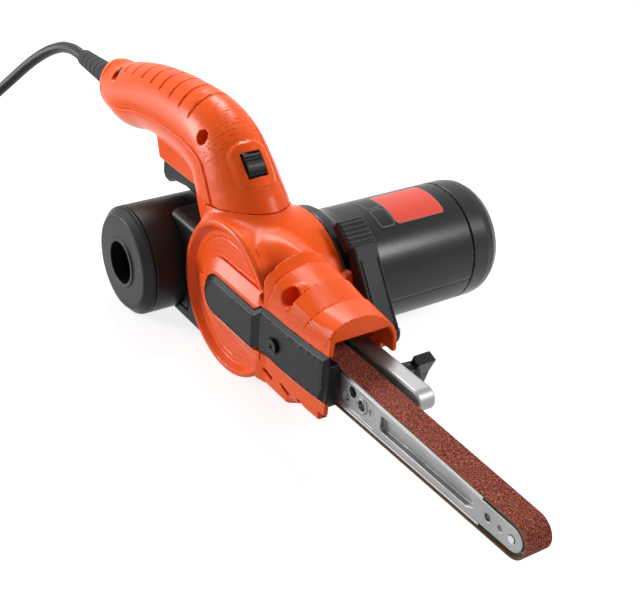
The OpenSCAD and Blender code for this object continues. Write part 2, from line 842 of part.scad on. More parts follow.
module motor_end_cap() {
    seat() color("orangered")
        difference() {
            union() {
                difference() {
                    turn_y([[0, motor_seam], [motor_r, motor_seam],
                        [motor_r, motor_seam + cap_side],
                        [motor_r - cap_bevel_in, motor_seam + motor_cap_len * cap_bevel_share],
                        [motor_r - cap_face_in, motor_end], [0, motor_end]]);
                    turn_y([[0, motor_seam - over], [motor_r - wall, motor_seam - over],
                        [motor_r - wall, motor_seam + cap_side - over],
                        [motor_r - cap_face_in - wall, motor_end - cap_floor],
                        [0, motor_end - cap_floor]]);
                }
                rod_y(rear_bearing_y, motor_end - over, rear_boss_out);
                cap_screw_places()
                    rod_y(motor_seam, motor_seam + cap_screw_seat + cap_head_t, cap_screw_boss);
            }
            rod_y(rear_bearing_y - over, rear_bearing_y + rear_bearing_w,
                rear_boss_in + seat_gap);
            rod_y(rear_bearing_y, rear_bearing_y + rear_bearing_w + cap_floor,
                shaft_r + over);
            for (i = [0:cap_vents - 1])
                rotate([0, i * 360 / cap_vents, 0])
                    slab_y(motor_end - cap_floor - over, motor_end + over)
                        polygon(sector(cap_vent_in, cap_vent_out, -cap_vent_angle, cap_vent_angle));
            cap_screw_places() {
                rod_y(motor_seam - over, motor_end, cap_screw_hole);
                rod_y(motor_seam + cap_screw_seat, motor_end + over, cap_head_r + seat_gap);
            }
        }
}
cap_screw_len = 16;
cap_screw_in = 0.1;
module end_cap_screws() {
    seat() color("gray")
        cap_screw_places() {
            rod_y(motor_seam + cap_screw_seat + seat_gap,
                motor_seam + cap_screw_seat + cap_head_t, cap_head_r);
            rod_y(motor_seam + cap_screw_seat + cap_head_t / 2 - cap_screw_len,
                motor_seam + cap_screw_seat + cap_head_t / 2, cap_screw_hole - cap_screw_in);
        }
}
plate_in = 7;
plate_y = drum_left - plate_in;
plate_t = 3;
front_bearing_r = 11;
plate_hub_r = 15;
plate_hub_out = 3;
bearing_in = 1;
bearing_mid = 1.4;
module bearing_plate() {
    seat() color("silver")
        difference() {
            union() {
                rod_y(plate_y, plate_y + plate_t, drum_left_r - wall - seat_gap);
                rod_y(plate_y - plate_hub_out, plate_y + plate_hub_out + over, plate_hub_r);
            }
            rod_y(plate_y - plate_hub_out + over, plate_y + plate_t + plate_hub_out,
                front_bearing_r + seat_gap);
            rod_y(plate_y - plate_hub_out - over, plate_y, front_bearing_r - bearing_mid);
        }
}
module front_bearing() {
    seat() color("silver")
        tube_y(plate_y - plate_hub_out + over + seat_gap, plate_y + plate_hub_out + over,
            shaft_r + pin_gap, front_bearing_r);
}
module rear_bearing() {
    seat() color("silver")
        tube_y(rear_bearing_y, rear_bearing_y + rear_bearing_w - seat_gap, shaft_r + pin_gap,
            rear_boss_in);
}
shaft_tail = 2;
module armature_shaft() {
    seat() color("gray")
        rod_y(-half_belt - roller_over, rear_bearing_y + rear_bearing_w + shaft_tail, shaft_r);
}
core_r = 17;
core_front = 28;
core_back = 21;
core_y = [drum_left + core_front, motor_seam - core_back];
core_slots = 12;
slot_in = 11;
slot_half = 1.6;
module armature_core() {
    seat() color("dimgray")
        difference() {
            rod_y(core_y[0], core_y[1], core_r);
            rod_y(core_y[0] - over, core_y[1] + over, shaft_r + seat_gap);
            for (i = [0:core_slots - 1])
                rotate([0, i * 360 / core_slots, 0])
                    box([slot_in, core_y[0] - over, -slot_half],
                        [core_r + over, core_y[1] + over, slot_half]);
        }
}
wind_len = 6;
wind_gap = 0.2;
wind_r = 15;
wind_in = 6;
module armature_winding() {
    seat() color("peru")
        union() {
            for (y = [core_y[0] - wind_gap - wind_len, core_y[1] + wind_gap])
                turn_y([[wind_in, y], [wind_r - over, y], [wind_r, y + over],
                    [wind_r, y + wind_len - over], [wind_r - over, y + wind_len],
                    [wind_in, y + wind_len]]);
            for (i = [0:core_slots - 1])
                rotate([0, i * 360 / core_slots, 0])
                    box([slot_in + move_gap, core_y[0] - over, move_gap - slot_half],
                        [wind_r - over, core_y[1] + over, slot_half - move_gap]);
        }
}
comm_r = 10;
comm_back = 3;
comm_len = 10.5;
comm_y = [motor_seam - comm_back - comm_len, motor_seam - comm_back];
comm_bars = 24;
comm_cut = 0.6;
module commutator() {
    seat() color("peru")
        difference() {
            rod_y(comm_y[0], comm_y[1], comm_r);
            rod_y(comm_y[0] - over, comm_y[1] + over, shaft_r + seat_gap);
            for (i = [0:comm_bars - 1])
                rotate([0, i * 360 / comm_bars, 0])
                    box([comm_r - comm_cut, comm_y[0] + over, -comm_cut / 2],
                        [comm_r + over, comm_y[1] + over, comm_cut / 2]);
        }
}
fan_r = 27;
fan_front = 8;
fan_len = 12;
fan_y = [drum_left + fan_front, drum_left + fan_front + fan_len];
fan_hub_r = 8;
fan_disc_t = 1.6;
fan_blades = 9;
fan_blade_t = 1.4;
fan_blade_in = 12;
module cooling_fan() {
    seat() color("dimgray")
        difference() {
            union() {
                rod_y(fan_y[0], fan_y[0] + fan_disc_t, fan_r);
                rod_y(fan_y[0], fan_y[1], fan_hub_r);
                for (i = [0:fan_blades - 1])
                    rotate([0, i * 360 / fan_blades, 0])
                        box([fan_blade_in, fan_y[0] + fan_disc_t - seat_gap, -fan_blade_t / 2],
                            [fan_r - over, fan_y[1] - over, fan_blade_t / 2]);
            }
            rod_y(fan_y[0] - over, fan_y[1] + over, shaft_r + seat_gap);
        }
}
field_in = 24.5;
pole_in = 17.6;
pole_half_angle = 38;
field_lead = 2;
field_y = [core_y[0] - field_lead, core_y[1]];
module field_core() {
    seat() color("dimgray")
        slab_y(field_y[0], field_y[1])
            union() {
                difference() {
                    circle(motor_r - wall - seat_gap);
                    circle(field_in);
                }
                for (turn = [90, 270])
                    polygon(sector(pole_in, field_in + over, turn - pole_half_angle, turn + pole_half_angle));
            }
}
coil_in = 18.6;
coil_out = 24.3;
coil_half_angle = 62;
coil_end = 4;
coil_lip_angle = 2;
module field_coils() {
    seat() color("peru")
        for (turn = [90, 270])
            difference() {
                slab_y(field_y[0] - coil_end, field_y[1] + coil_end)
                    polygon(sector(coil_in, coil_out, turn - coil_half_angle, turn + coil_half_angle));
                slab_y(field_y[0] - move_gap, field_y[1] + move_gap)
                    polygon(sector(coil_in - over, coil_out + over, turn - pole_half_angle - coil_lip_angle,
                        turn + pole_half_angle + coil_lip_angle));
            }
}
brush_in = 0.5;
brush_out = 1;
brush_y = [comm_y[0] + brush_in, comm_y[1] - brush_out];
brush_r = [11.2, 29.3];
brush_half = 5;
brush_hole = 2.5;
brush_hole_half = 3;
carbon_r = [10.3, 18];
brush_spring_r = 2;
brush_spring_end = 28;
module brush_places() {
    for (turn = [0, 180])
        rotate([0, turn, 0])
            children();
}
module brush_holders() {
    seat() color("peru")
        brush_places()
            difference() {
                box([brush_r[0], brush_y[0], -brush_half], [brush_r[1], brush_y[1], brush_half]);
                box([brush_r[0] - over, (brush_y[0] + brush_y[1]) / 2 - brush_hole,
                    -brush_hole_half], [brush_r[1] - over, (brush_y[0] + brush_y[1]) / 2
                    + brush_hole, brush_hole_half]);
            }
}
module carbon_brushes() {
    seat() color("black")
        brush_places()
            box([carbon_r[0], (brush_y[0] + brush_y[1]) / 2 - brush_hole + pin_gap,
                pin_gap - brush_hole_half], [carbon_r[1], (brush_y[0] + brush_y[1]) / 2
                + brush_hole - pin_gap, brush_hole_half - pin_gap]);
}
module brush_springs() {
    seat() color("gray")
        brush_places()
            translate([0, (brush_y[0] + brush_y[1]) / 2, 0])
                rod_x(carbon_r[1] + seat_gap, brush_spring_end, brush_spring_r);
}

// Switch, trigger and speed dial
trigger_len = 46;
trigger_h = 16;
// Outline from the pivot, in shares of the trigger's length and height
trigger_shares = [[-0.76, -0.03], [-0.77, -0.78], [-0.71, -0.98], [-0.62, -1.01], [-0.47, -0.81],
    [-0.21, -0.69], [0.04, -0.72], [0.24, -0.53], [0.23, -0.34], [0.05, 0.12], [-0.05, 0.12],
    [-0.21, 0.04]];
module trigger() {
    seat() color("black")
        difference() {
            slab_y(handle_mid - trigger_w / 2, handle_mid + trigger_w / 2)
                polygon([for (p = trigger_shares)
                    [pivot_x + p[0] * trigger_len, pivot_z + p[1] * trigger_h]]);
            translate([pivot_x, 0, pivot_z])
                rod_y(handle_mid - trigger_w, handle_mid + trigger_w, trigger_pin_r + pin_gap);
        }
}
module trigger_pin() {
    seat() color("gray")
        translate([pivot_x, 0, pivot_z])
            rod_y(handle_mid - web_out, handle_mid + web_out, trigger_pin_r);
}
trigger_spring_back = 7;
trigger_spring_drop = 25.4;
trigger_spring_len = 4.6;
trigger_spring_r = 2.2;
module trigger_spring() {
    seat() color("gray")
        translate([trigger_at[0] - trigger_spring_back, handle_mid,
            trigger_at[1] - trigger_spring_drop])
            cylinder(h = trigger_spring_len, r = trigger_spring_r);
}
switch_half_len = 14;
switch_drop = 9;
switch_rise = 7;
switch_half = 9;
plunger_drop = 21.8;
module power_switch() {
    seat() color("black")
        union() {
            box([plunger_x - switch_half_len, handle_mid - switch_half,
                trigger_at[1] - switch_drop], [plunger_x + switch_half_len,
                handle_mid + switch_half, trigger_at[1] + switch_rise]);
            box([plunger_x - plunger_half, handle_mid - plunger_half,
                trigger_at[1] - plunger_drop], [plunger_x + plunger_half,
                handle_mid + plunger_half, trigger_at[1] - switch_drop + over]);
        }
}
dial_ribs = 28;
dial_rib_half = 0.35;
dial_rib_deep = 0.6;
module speed_dial() {
    seat() color("black")
        at_row(dial_row, dial_h)
            difference() {
                rod_y(dial_shift - dial_w / 2, dial_shift + dial_w / 2, dial_r);
                rod_y(dial_shift - dial_w, dial_shift + dial_w, dial_axle_r + pin_gap);
                for (i = [0:dial_ribs - 1])
                    rotate([0, i * 360 / dial_ribs, 0])
                        box([dial_r - dial_rib_deep, dial_shift - dial_w, -dial_rib_half],
                            [dial_r + over, dial_shift + dial_w, dial_rib_half]);
            }
}
board_t = 1.6;
board_half = 8;
board_low = -20;
board_high = 2;
module control_board() {
    side = dial_shift + dial_w / 2 + move_gap;
    seat() color("green")
        at_row(dial_row, dial_h)
            union() {
                box([-board_half, side, board_low], [board_half, side + board_t, board_high]);
                rod_y(dial_shift - dial_w / 2, side + over, dial_axle_r);
            }
}

// Dust box
adapter_x = [-62, -26];
adapter_y = [-9.5, 30];
adapter_z = [-38, 21];
adapter_round = 8;
adapter_wall = 3;
module dust_adapter() {
    seat() color("black")
        difference() {
            slab_x(adapter_x[0], adapter_x[1])
                polygon(concat(
                    arc(adapter_y[1] - adapter_round, adapter_z[1] - adapter_round, adapter_round,
                        0, 90, round_steps),
                    arc(adapter_y[0] + adapter_round, adapter_z[1] - adapter_round, adapter_round,
                        90, 180, round_steps),
                    [[adapter_y[0], adapter_z[0]], [adapter_y[1], adapter_z[0]]]));
            drum_room();
            neck_stub(stub_lip + seat_gap, stub_len);
            translate([canister_x, 0, canister_z])
                rod_y(canister_y, motor_seam, canister_r + move_gap);
            translate([0, duct_y, duct_z])
                rod_x(canister_x, 0, duct_r);
        }
}
canister_wall = 2.4;
canister_round = 3;
module dust_canister() {
    y0 = canister_y;
    y1 = canister_y + canister_len;
    seat() color("black")
        translate([canister_x, 0, canister_z])
            difference() {
                turn_y([[canister_r - canister_wall, y0], [canister_r, y0],
                    [canister_r, y1 - canister_round], [canister_r - canister_round, y1], [0, y1],
                    [0, y1 - canister_wall], [canister_r - canister_wall, y1 - canister_wall]]);
                translate([0, duct_y, duct_z - canister_z])
                    rod_x(0, canister_r + over, duct_r);
            }
}
cap_face_share = 0.84;
spigot_t = 1.1;
seal_r = 23.5;
seal_t = 1.1;
flange_t = 1.9;
port_ring = 2.2;
module canister_cap() {
    back = canister_y - move_gap;
    face = canister_y - canister_cap_len;
    spigot = seal_r - move_gap;
    seat() color("black")
        translate([canister_x, 0, canister_z])
            turn_y([[port_r, face - port_rise], [port_r + port_ring, face - port_rise],
                [port_r + port_ring, face], [canister_r * cap_face_share, face],
                [canister_r, back], [spigot, back], [spigot, back + spigot_t],
                [port_r, back + spigot_t]]);
}
vortex_r = [12, 14];
vortex_len = 46;
module vortex_tube() {
    y0 = canister_y + seal_t + seat_gap;
    seat() color("dimgray")
        translate([canister_x, 0, canister_z])
            turn_y([[vortex_r[0], y0], [canister_r - canister_wall - seat_gap, y0],
                [canister_r - canister_wall - seat_gap, y0 + flange_t], [vortex_r[1], y0 + flange_t],
                [vortex_r[1], y0 + vortex_len], [vortex_r[0], y0 + vortex_len]]);
}
module canister_seal() {
    seat() color("black")
        translate([canister_x, 0, canister_z])
            tube_y(canister_y, canister_y + seal_t, seal_r, canister_r - canister_wall - seat_gap);
}

// Cord: clamp, strain relief, free stretch, coil, tie and plug
relief_drop = 1;
relief_z = line_at(0)[1] - relief_drop;
relief_r = [7, 5];
relief_len = 40.7;
relief_neck_r = 5.5;
relief_neck = 4.5;
relief_flange_r = 8;
relief_flange_t = 4.5;
clamp_in = 19;
clamp_len = 10;
clamp_from = handle_reach - clamp_in;
clamp_to = clamp_from - clamp_len;
clamp_half_w = 8;
clamp_half_h = 4.6;
clamp_line_share = 0.24;
clamp_room = 0.95;
module cord_clamp() {
    seat() color("dimgray")
        difference() {
            box([-clamp_from, handle_mid - clamp_half_w, relief_z - clamp_half_h],
                [-clamp_to, handle_mid + half_w(clamp_line_share * line_last) - wall - clamp_room,
                relief_z + clamp_half_h]);
            translate([0, handle_mid, relief_z])
                rod_x(-clamp_from - over, over - clamp_to, cord_d / 2);
        }
}
module strain_relief() {
    back = -handle_reach - move_gap;
    seat() color("black")
        translate([back, handle_mid, relief_z])
            rotate([0, 90, 0])
                rotate_extrude()
                    polygon([[0, -relief_len], [relief_r[1], -relief_len], [relief_r[0], 0],
                        [relief_neck_r, 0], [relief_neck_r, relief_neck],
                        [relief_flange_r, relief_neck],
                        [relief_flange_r, relief_neck + relief_flange_t],
                        [0, relief_neck + relief_flange_t]]);
}
cord_start = [-handle_reach - move_gap - relief_len, handle_mid, relief_z];
cord_route = [[0, 0, 0], [-7, 0, 0], [-14, 0, 0], [-22, 0, -1], [-34, -1, -4], [-48, -5, -11],
    [-62, -11, -22], [-75, -19, -36], [-87, -29, -51], [-97, -40, -65], [-105, -53, -76.5],
    [-110, -66, -83.5], [-112, -80, -86.2], [-112, -90, -86.6], [-112, -100, -86.6]];
cord_sides = 10;
coil_sides = 6;
cord_last = len(cord_route) - 1;
// Way along a list of points at point i
function way(p, i) = let (
    d = p[min(len(p) - 1, i + 1)] - p[max(0, i - 1)]) d / norm(d);
// Ring of points across the way d at p
function ring(p, d, sides) = let (
    a = cross(d, [0, 0, 1]), s = a / norm(a), t = cross(s, d))
    [for (k = [0:sides - 1]) let (w = (2 * k + 1) * 180 / sides)
        p + cord_d / 2 * (s * cos(w) + t * sin(w))];
module tube(points, sides) {
    n = len(points);
    polyhedron(
        points = [for (i = [0:n - 1]) for (q = ring(points[i], way(points, i), sides)) q],
        faces = concat(skin_faces(n, sides), fan(0, sides, false),
            fan((n - 1) * sides, sides, true)));
}
module power_cord() {
    seat() color("black")
        tube([for (p = cord_route) cord_start + p], cord_sides);
}
coil_turns = 7.25;
coil_inner = 28;
coil_pitch = 7.7;
coil_rings = 24;
climb_turns = 0.5;
coil_outer = coil_inner + coil_pitch * coil_turns / 2;
coil_entry = cord_start + cord_route[cord_last];
coil_mid = coil_entry + [coil_outer, -cord_d, 0];
// Point of the coil after t turns: in on the lower layer, a climb, and out on the upper
function coil_at(t) = let (
    r = coil_inner + coil_pitch * abs(coil_turns / 2 - t), a = 180 + 360 * t,
    s = max(0, min(1, (t - coil_turns / 2) / climb_turns + climb_turns)))
    coil_mid + [r * cos(a), r * sin(a), coil_pitch * s * s * (3 - 2 * s)];
coil_last = coil_turns * coil_rings;
coil_line = concat([coil_entry], [for (i = [0:coil_last]) coil_at(i / coil_rings)],
    [coil_at(coil_turns) + [cord_d, 0, 0]]);
// Least gap of the coil from itself, over points at least half a turn apart
coil_near = min([for (i = [0:coil_last], j = [i + coil_rings / 2:coil_last])
    norm(coil_at(i / coil_rings) - coil_at(j / coil_rings))]);
echo(coil_self_gap = coil_near - cord_d);
module cord_coil() {
    seat() color("black")
        tube(coil_line, coil_sides);
}
tail_route = [[0, 0, 0], [7, 0, 0], [14, 0, -2], [22, 0, -4.5], [29, 0, -6], [36, 0, -6]];
tail_start = coil_line[len(coil_line) - 1];
plug_at = tail_start + tail_route[len(tail_route) - 1];
module cord_tail() {
    seat() color("black")
        tube([for (p = tail_route) tail_start + p], cord_sides);
}
tie_t = 1;
tie_w = 8;
tie_gap = 0.35;
tie_angles = [60, 190];
module coil_tie() {
    low = coil_mid[2] - cord_d / 2 - tie_gap;
    high = coil_mid[2] + coil_pitch + cord_d / 2 + tie_gap;
    near = coil_inner - cord_d / 2 - tie_gap;
    far = coil_outer + cord_d / 2 + tie_gap;
    seat() color("dimgray")
        for (turn = tie_angles)
            translate([coil_mid[0], coil_mid[1], 0])
                rotate([0, 0, turn])
                    difference() {
                        box([near - tie_t, -tie_w / 2, low - tie_t],
                            [far + tie_t, tie_w / 2, high + tie_t]);
                        box([near, -tie_w, low], [far, tie_w, high]);
                    }
}
plug_len = 36;
plug_half_w = 17.5;
// Half outline, in shares of the plug's length and half its width
plug_shares = [[0, 0.26], [0.33, 0.31], [0.5, 0.86], [0.67, 1], [1, 1]];
plug_last = len(plug_shares) - 1;
plug_half_t = 6.8;
plug_pin_r = 2;
plug_pin_len = 19;
plug_pin_half = 9.5;
pin_deep = 6;
module plug_body() {
    seat() color("black")
        translate(plug_at)
            difference() {
                translate([0, 0, -plug_half_t])
                    linear_extrude(plug_half_t + plug_half_t)
                        polygon(concat(
                            [for (p = plug_shares) [p[0] * plug_len, p[1] * plug_half_w]],
                            [for (i = [plug_last:-1:0])
                                [plug_shares[i][0] * plug_len, -plug_shares[i][1] * plug_half_w]]));
                for (y = [-plug_pin_half, plug_pin_half])
                    translate([0, y, 0])
                        rod_x(plug_len - pin_deep, plug_len + over, plug_pin_r + seat_gap);
            }
}
module plug_pins() {
    seat() color("silver")
        translate(plug_at)
            for (y = [-plug_pin_half, plug_pin_half])
                translate([0, y, 0])
                    rod_x(plug_len - pin_deep, plug_len + plug_pin_len, plug_pin_r);
}

body_housing();
handle_shell_right();
handle_shell_left();
handle_screws();
belt_cover();
cover_screw();
nose_screw();
sanding_belt();
drive_roller();
file_arm();
platen_strips();
nose_roller();
nose_pin();
arm_bracket();
wing_knob();
tension_spring();
tension_lever();
lever_pin();
motor_housing();
motor_end_cap();
end_cap_screws();
bearing_plate();
front_bearing();
rear_bearing();
armature_shaft();
armature_core();
armature_winding();
commutator();
cooling_fan();
field_core();
field_coils();
brush_holders();
carbon_brushes();
brush_springs();
trigger();
trigger_pin();
trigger_spring();
power_switch();
speed_dial();
control_board();
dust_adapter();
dust_canister();
canister_cap();
vortex_tube();
canister_seal();
cord_clamp();
strain_relief();
power_cord();
cord_coil();
cord_tail();
coil_tie();
plug_body();
plug_pins();
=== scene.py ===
"""Looks of a power file: a narrow belt on a long arm, a round orange body, a side motor and a dust box.

All sizes here are millimetres on the tool's own axes: X along the arm, Y to the motor and Z up, from the
point where the drive axis meets the middle of the belt. One function, to_frame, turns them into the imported
frame's metres.
"""

import logging
from dataclasses import dataclass
from enum import Enum
from functools import reduce
from typing import Callable

import bpy
import numpy as np
from mathutils import Matrix


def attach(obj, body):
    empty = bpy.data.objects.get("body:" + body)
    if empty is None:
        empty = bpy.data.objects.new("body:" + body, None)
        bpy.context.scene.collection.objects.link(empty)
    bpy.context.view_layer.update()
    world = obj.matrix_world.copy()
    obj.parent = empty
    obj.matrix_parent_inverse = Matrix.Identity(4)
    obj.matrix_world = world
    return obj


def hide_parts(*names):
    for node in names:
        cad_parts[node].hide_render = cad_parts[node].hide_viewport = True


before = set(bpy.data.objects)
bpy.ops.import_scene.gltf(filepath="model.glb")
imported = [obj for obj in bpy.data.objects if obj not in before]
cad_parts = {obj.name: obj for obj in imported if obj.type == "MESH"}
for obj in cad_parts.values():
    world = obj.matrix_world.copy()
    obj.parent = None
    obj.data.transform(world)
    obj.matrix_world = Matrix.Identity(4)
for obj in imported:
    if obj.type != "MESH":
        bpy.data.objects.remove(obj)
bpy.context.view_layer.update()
log = logging.getLogger("power_file")

Array = np.ndarray
Flat = Callable[[Array, Array], Array]
Field = Callable[[Array, Array, Array], Array]
Tree = bpy.types.NodeTree
Socket = bpy.types.NodeSocket

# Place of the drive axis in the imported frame, whose origin is the middle of the tool's bottom.
ORIGIN = np.array([-18.55, -52.85, 40.3])
TOOL = "tool"
WHITE = (1.0, 1.0, 1.0, 1.0)
# More than any squared distance on the tool.
FAR = 1e12
# Middle of the grip in Y, and height of the cord where it leaves the grip.
HANDLE_MID = 11.0
CORD_Z = 51.625
# Middle of the grip's neck where it meets the body, and the way along that joint, in X and Z.
NECK = (-22.916, 33.0)
NECK_WAY = (0.7957, 0.6057)
# Axes of the knob's stud, the lever's pin and the trigger's pin, in X and Z.
STUD = (96.0, 2.5)
LEVER_PIN = (53.0, -6.0)
TRIGGER_PIN = (-62.393, 36.68)


def to_frame(points: Array) -> Array:
    """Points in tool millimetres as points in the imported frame, in metres."""
    return (np.asarray(points, float) + ORIGIN) / 1000.0


def put(name: str, data: bpy.types.ID) -> bpy.types.Object:
    """A new object of the data, put in the scene."""
    made = bpy.data.objects.new(name, data)
    bpy.context.scene.collection.objects.link(made)
    return made


def facing(right: Array, back: Array, at: Array) -> Matrix:
    """Matrix of a camera or lamp from its right axis, its back axis and its place; up is square to both axes."""
    matrix = np.eye(4)
    matrix[:3] = np.stack([right, np.cross(back, right), back, at], 1)
    return Matrix(matrix.tolist())


@dataclass
class Studio:
    """Camera, lamps, pale floor and world.

    The camera stands at the front right of the tool. Its axes are given as unit vectors in the tool's frame.
    Each lamp has a name, a place, a side in metres and a power in watts.
    """

    focal_px: float = 1180.12
    distance: float = 582.09
    back: tuple = (0.722, -0.468, 0.509)
    right: tuple = (0.522, 0.852, 0.043)
    width_px: float = 640.0
    height_px: float = 614.0
    centre_px: tuple = (247.0, 293.1)
    sensor: float = 36.0
    aim: tuple = (0.0, 20.0, 10.0)
    lamps: tuple = (
        ("lamp over", (-500.0, 240.0, 720.0), 0.3, 6.4),
        ("lamp right", (-720.0, -690.0, 150.0), 0.32, 8.4),
        ("lamp front", (700.0, 560.0, 620.0), 0.27, 5.8),
    )
    soft_light: float = 0.18
    floor_grey: float = 0.45
    floor_lift: float = 0.82

    def place_camera(self) -> None:
        """Makes the scene's camera.

        Its right axis is made square with its back axis, and its shift puts the drive axis where the picture
        has it.
        """
        back = np.array(self.back) / np.linalg.norm(self.back)
        right = np.array(self.right) - back * np.dot(self.right, back)
        right /= np.linalg.norm(right)
        data = bpy.data.cameras.new("camera")
        data.sensor_width = self.sensor
        data.lens = self.focal_px * self.sensor / self.width_px
        data.shift_x = (self.width_px / 2 - self.centre_px[0]) / self.width_px
        data.shift_y = (self.centre_px[1] - self.height_px / 2) / self.width_px
        data.clip_start, data.clip_end = 0.01, 50.0
        camera = put("camera", data)
        camera.matrix_world = facing(right, back, to_frame(back * self.distance))
        bpy.context.scene.camera = camera

    def light(self) -> None:
        """Three soft square lamps turned to the aim: over the tool, behind its right side and from the front left."""
        target = to_frame(self.aim)
        for name, at, size, power in self.lamps:
            data = bpy.data.lights.new(name, "AREA")
            data.size, data.energy = size, power
            spot = to_frame(at)
            back = (spot - target) / np.linalg.norm(spot - target)
            right = np.cross([0.0, 0.0, 1.0], back)
            right /= np.linalg.norm(right)
            put(name, data).matrix_world = facing(right, back, spot)

    def seen(self, tree: Tree) -> Socket:
        """One where a ray comes from the camera, a mirror or glass, and zero where it carries soft light."""
        path = place(tree, "ShaderNodeLightPath").outputs
        first = {0: path["Is Camera Ray"], 1: path["Is Glossy Ray"]}
        both = {0: place(tree, "ShaderNodeMath", first, operation="ADD").outputs[0], 1: path["Is Transmission Ray"]}
        return place(tree, "ShaderNodeMath", both, operation="ADD", use_clamp=True).outputs[0]

    def set_world(self) -> None:
        """A white background, and a grey one for soft light."""
        world = bpy.data.worlds.new("world")
        bpy.context.scene.world = world
        world.use_nodes = True
        tree = world.node_tree
        tree.nodes.clear()
        soft = place(tree, "ShaderNodeBackground", {"Color": WHITE, "Strength": self.soft_light})
        white = place(tree, "ShaderNodeBackground", {"Color": WHITE, "Strength": 1.0})
        mix = place(tree, "ShaderNodeMixShader", {0: self.seen(tree), 1: soft.outputs[0], 2: white.outputs[0]})
        place(tree, "ShaderNodeOutputWorld", {"Surface": mix.outputs[0]})

    def lay_floor(self) -> None:
        """A wide white floor just under the tool, which shows as white and still takes the shadow."""
        half, low = 6.0, -0.0004
        mesh = bpy.data.meshes.new("floor")
        corners = [(-half, -half, low), (half, -half, low), (half, half, low), (-half, half, low)]
        mesh.from_pydata(corners, [], [(0, 1, 2, 3)])
        made = bpy.data.materials.new("floor white")
        made.use_nodes = True
        tree = made.node_tree
        lift = place(tree, "ShaderNodeMath", {0: self.seen(tree), 1: self.floor_lift}, operation="MULTIPLY")
        looks = {"Base Color": (*[self.floor_grey] * 3, 1.0), "Roughness": 0.7}
        glow = {"Emission Color": WHITE, "Emission Strength": lift.outputs[0]}
        feed(tree, tree.nodes["Principled BSDF"], {**looks, **glow})
        mesh.materials.append(made)
        floor = put("floor", mesh)


# Fields: each gives a signed distance in millimetres, below zero inside the solid.


def meet(*fields: Array) -> Array:
    """What lies inside all of the fields: the largest one."""
    return reduce(np.maximum, fields)


def join(*fields: Array) -> Array:
    """What lies inside any of the fields: the smallest one."""
    return reduce(np.minimum, fields)


def fraction(value: Array) -> Array:
    """A value kept between 0 and 1."""
    return np.clip(value, 0, 1)


def eased(value: Array) -> Array:
    """A value kept between 0 and 1 that leaves both level: three times its square less twice its cube."""
    s = fraction(value)
    return s**2 * (3 - 2 * s)


def ridge(off: Array, half: float) -> Array:
    """One on a line, falling straight to zero half a width away from it."""
    return fraction(1 - np.abs(off) / half)


def smooth_min(a: Array, b: Array, blend: float) -> Array:
    """Union of two fields: the smaller one, less a parabola where they differ by less than the blend."""
    gap = np.maximum(blend - np.abs(a - b), 0.0) / blend
    return np.minimum(a, b) - gap * gap * blend / 4


def smooth_cut(a: Array, b: Array, blend: float) -> Array:
    """Field a without field b: minus the smooth union of minus a and b."""
    return -smooth_min(-a, b, blend)


def inset(points: Array, by: float) -> Array:
    """Corners of a polygon after every side has moved inwards.

    Each new corner lies where the two moved sides meet: the corner plus the sum of the sides' inward normals,
    over one plus their dot product.

    Args:
        points: Corners in order, either way round.
        by: How far each side moves.

    Returns:
        The moved corners.
    """
    p, least = np.asarray(points, float), 0.15
    side = np.roll(p, -1, 0) - p
    side /= np.linalg.norm(side, axis=1)[:, None]
    area = np.sum(p[:, 0] * np.roll(p[:, 1], -1) - np.roll(p[:, 0], -1) * p[:, 1])
    normal = np.stack([-side[:, 1], side[:, 0]], 1) * np.sign(area)
    before = np.roll(normal, 1, 0)
    share = 1 + np.sum(before * normal, 1)
    return p + by * (before + normal) / np.maximum(share, least)[:, None]


def polygon(points: Array, round_by: float = 0.0) -> Flat:
    """Signed distance to a polygon in a plane.

    The distance is the least one to any side; the sign flips at each side that a ray crosses. Rounding takes
    the distance to the inset polygon, less the radius.

    Args:
        points: Corners in order.
        round_by: Radius on the outward corners.

    Returns:
        A function of the two plane coordinates.
    """
    corner = inset(points, round_by) if round_by else np.asarray(points, float)
    after = np.roll(corner, -1, 0)

    def distance(u: Array, v: Array) -> Array:
        """Distance of each point from the outline."""
        best = np.full(np.broadcast(u, v).shape, FAR)
        inside = np.zeros(best.shape, bool)
        for (ax, ay), (bx, by) in zip(corner, after):
            ex, ey = bx - ax, by - ay
            wx, wy = u - ax, v - ay
            t = fraction((wx * ex + wy * ey) / (ex * ex + ey * ey))
            best = np.minimum(best, (wx - ex * t) ** 2 + (wy - ey * t) ** 2)
            over = (v >= ay) & (v < by) & (ex * wy > ey * wx)
            under = (v < ay) & (v >= by) & (ex * wy < ey * wx)
            inside ^= over | under
        return np.where(inside, -1.0, 1.0) * np.sqrt(best) - round_by

    return distance


def slab(flat: Array, across: Array, low: float, high: float, edge: float = 0.0) -> Array:
    """A flat outline given thickness: both distances, joined round the edges with a radius."""
    a = flat + edge
    b = np.abs(across - (low + high) / 2) - (high - low) / 2 + edge
    return np.hypot(np.maximum(a, 0), np.maximum(b, 0)) + np.minimum(np.maximum(a, b), 0) - edge


def block(x: Array, y: Array, z: Array, low: tuple, high: tuple, edge: float = 0.0) -> Array:
    """A box with rounded edges: the length of the positive part of the three side distances."""
    d = [np.abs(p - (a + b) / 2) - (b - a) / 2 + edge for p, a, b in zip((x, y, z), low, high)]
    far = np.sqrt(sum(np.maximum(q, 0) ** 2 for q in d))
    return far + np.minimum(meet(*d), 0) - edge


def rod(x: Array, y: Array, z: Array, at: tuple, radius: float, low: float, high: float, edge: float = 0.0) -> Array:
    """A round bar along Y: a disc about a point of X and Z, given thickness."""
    return slab(np.hypot(x - at[0], z - at[1]) - radius, y, low, high, edge)


def turned(profile: list, at: tuple = (0.0, 0.0), round_by: float = 0.0) -> Field:
    """Field of a profile of radius and Y, turned about an axis along Y through a point of X and Z."""
    shape = polygon(profile, round_by)
    return lambda x, y, z: shape(np.hypot(x - at[0], z - at[1]), y)


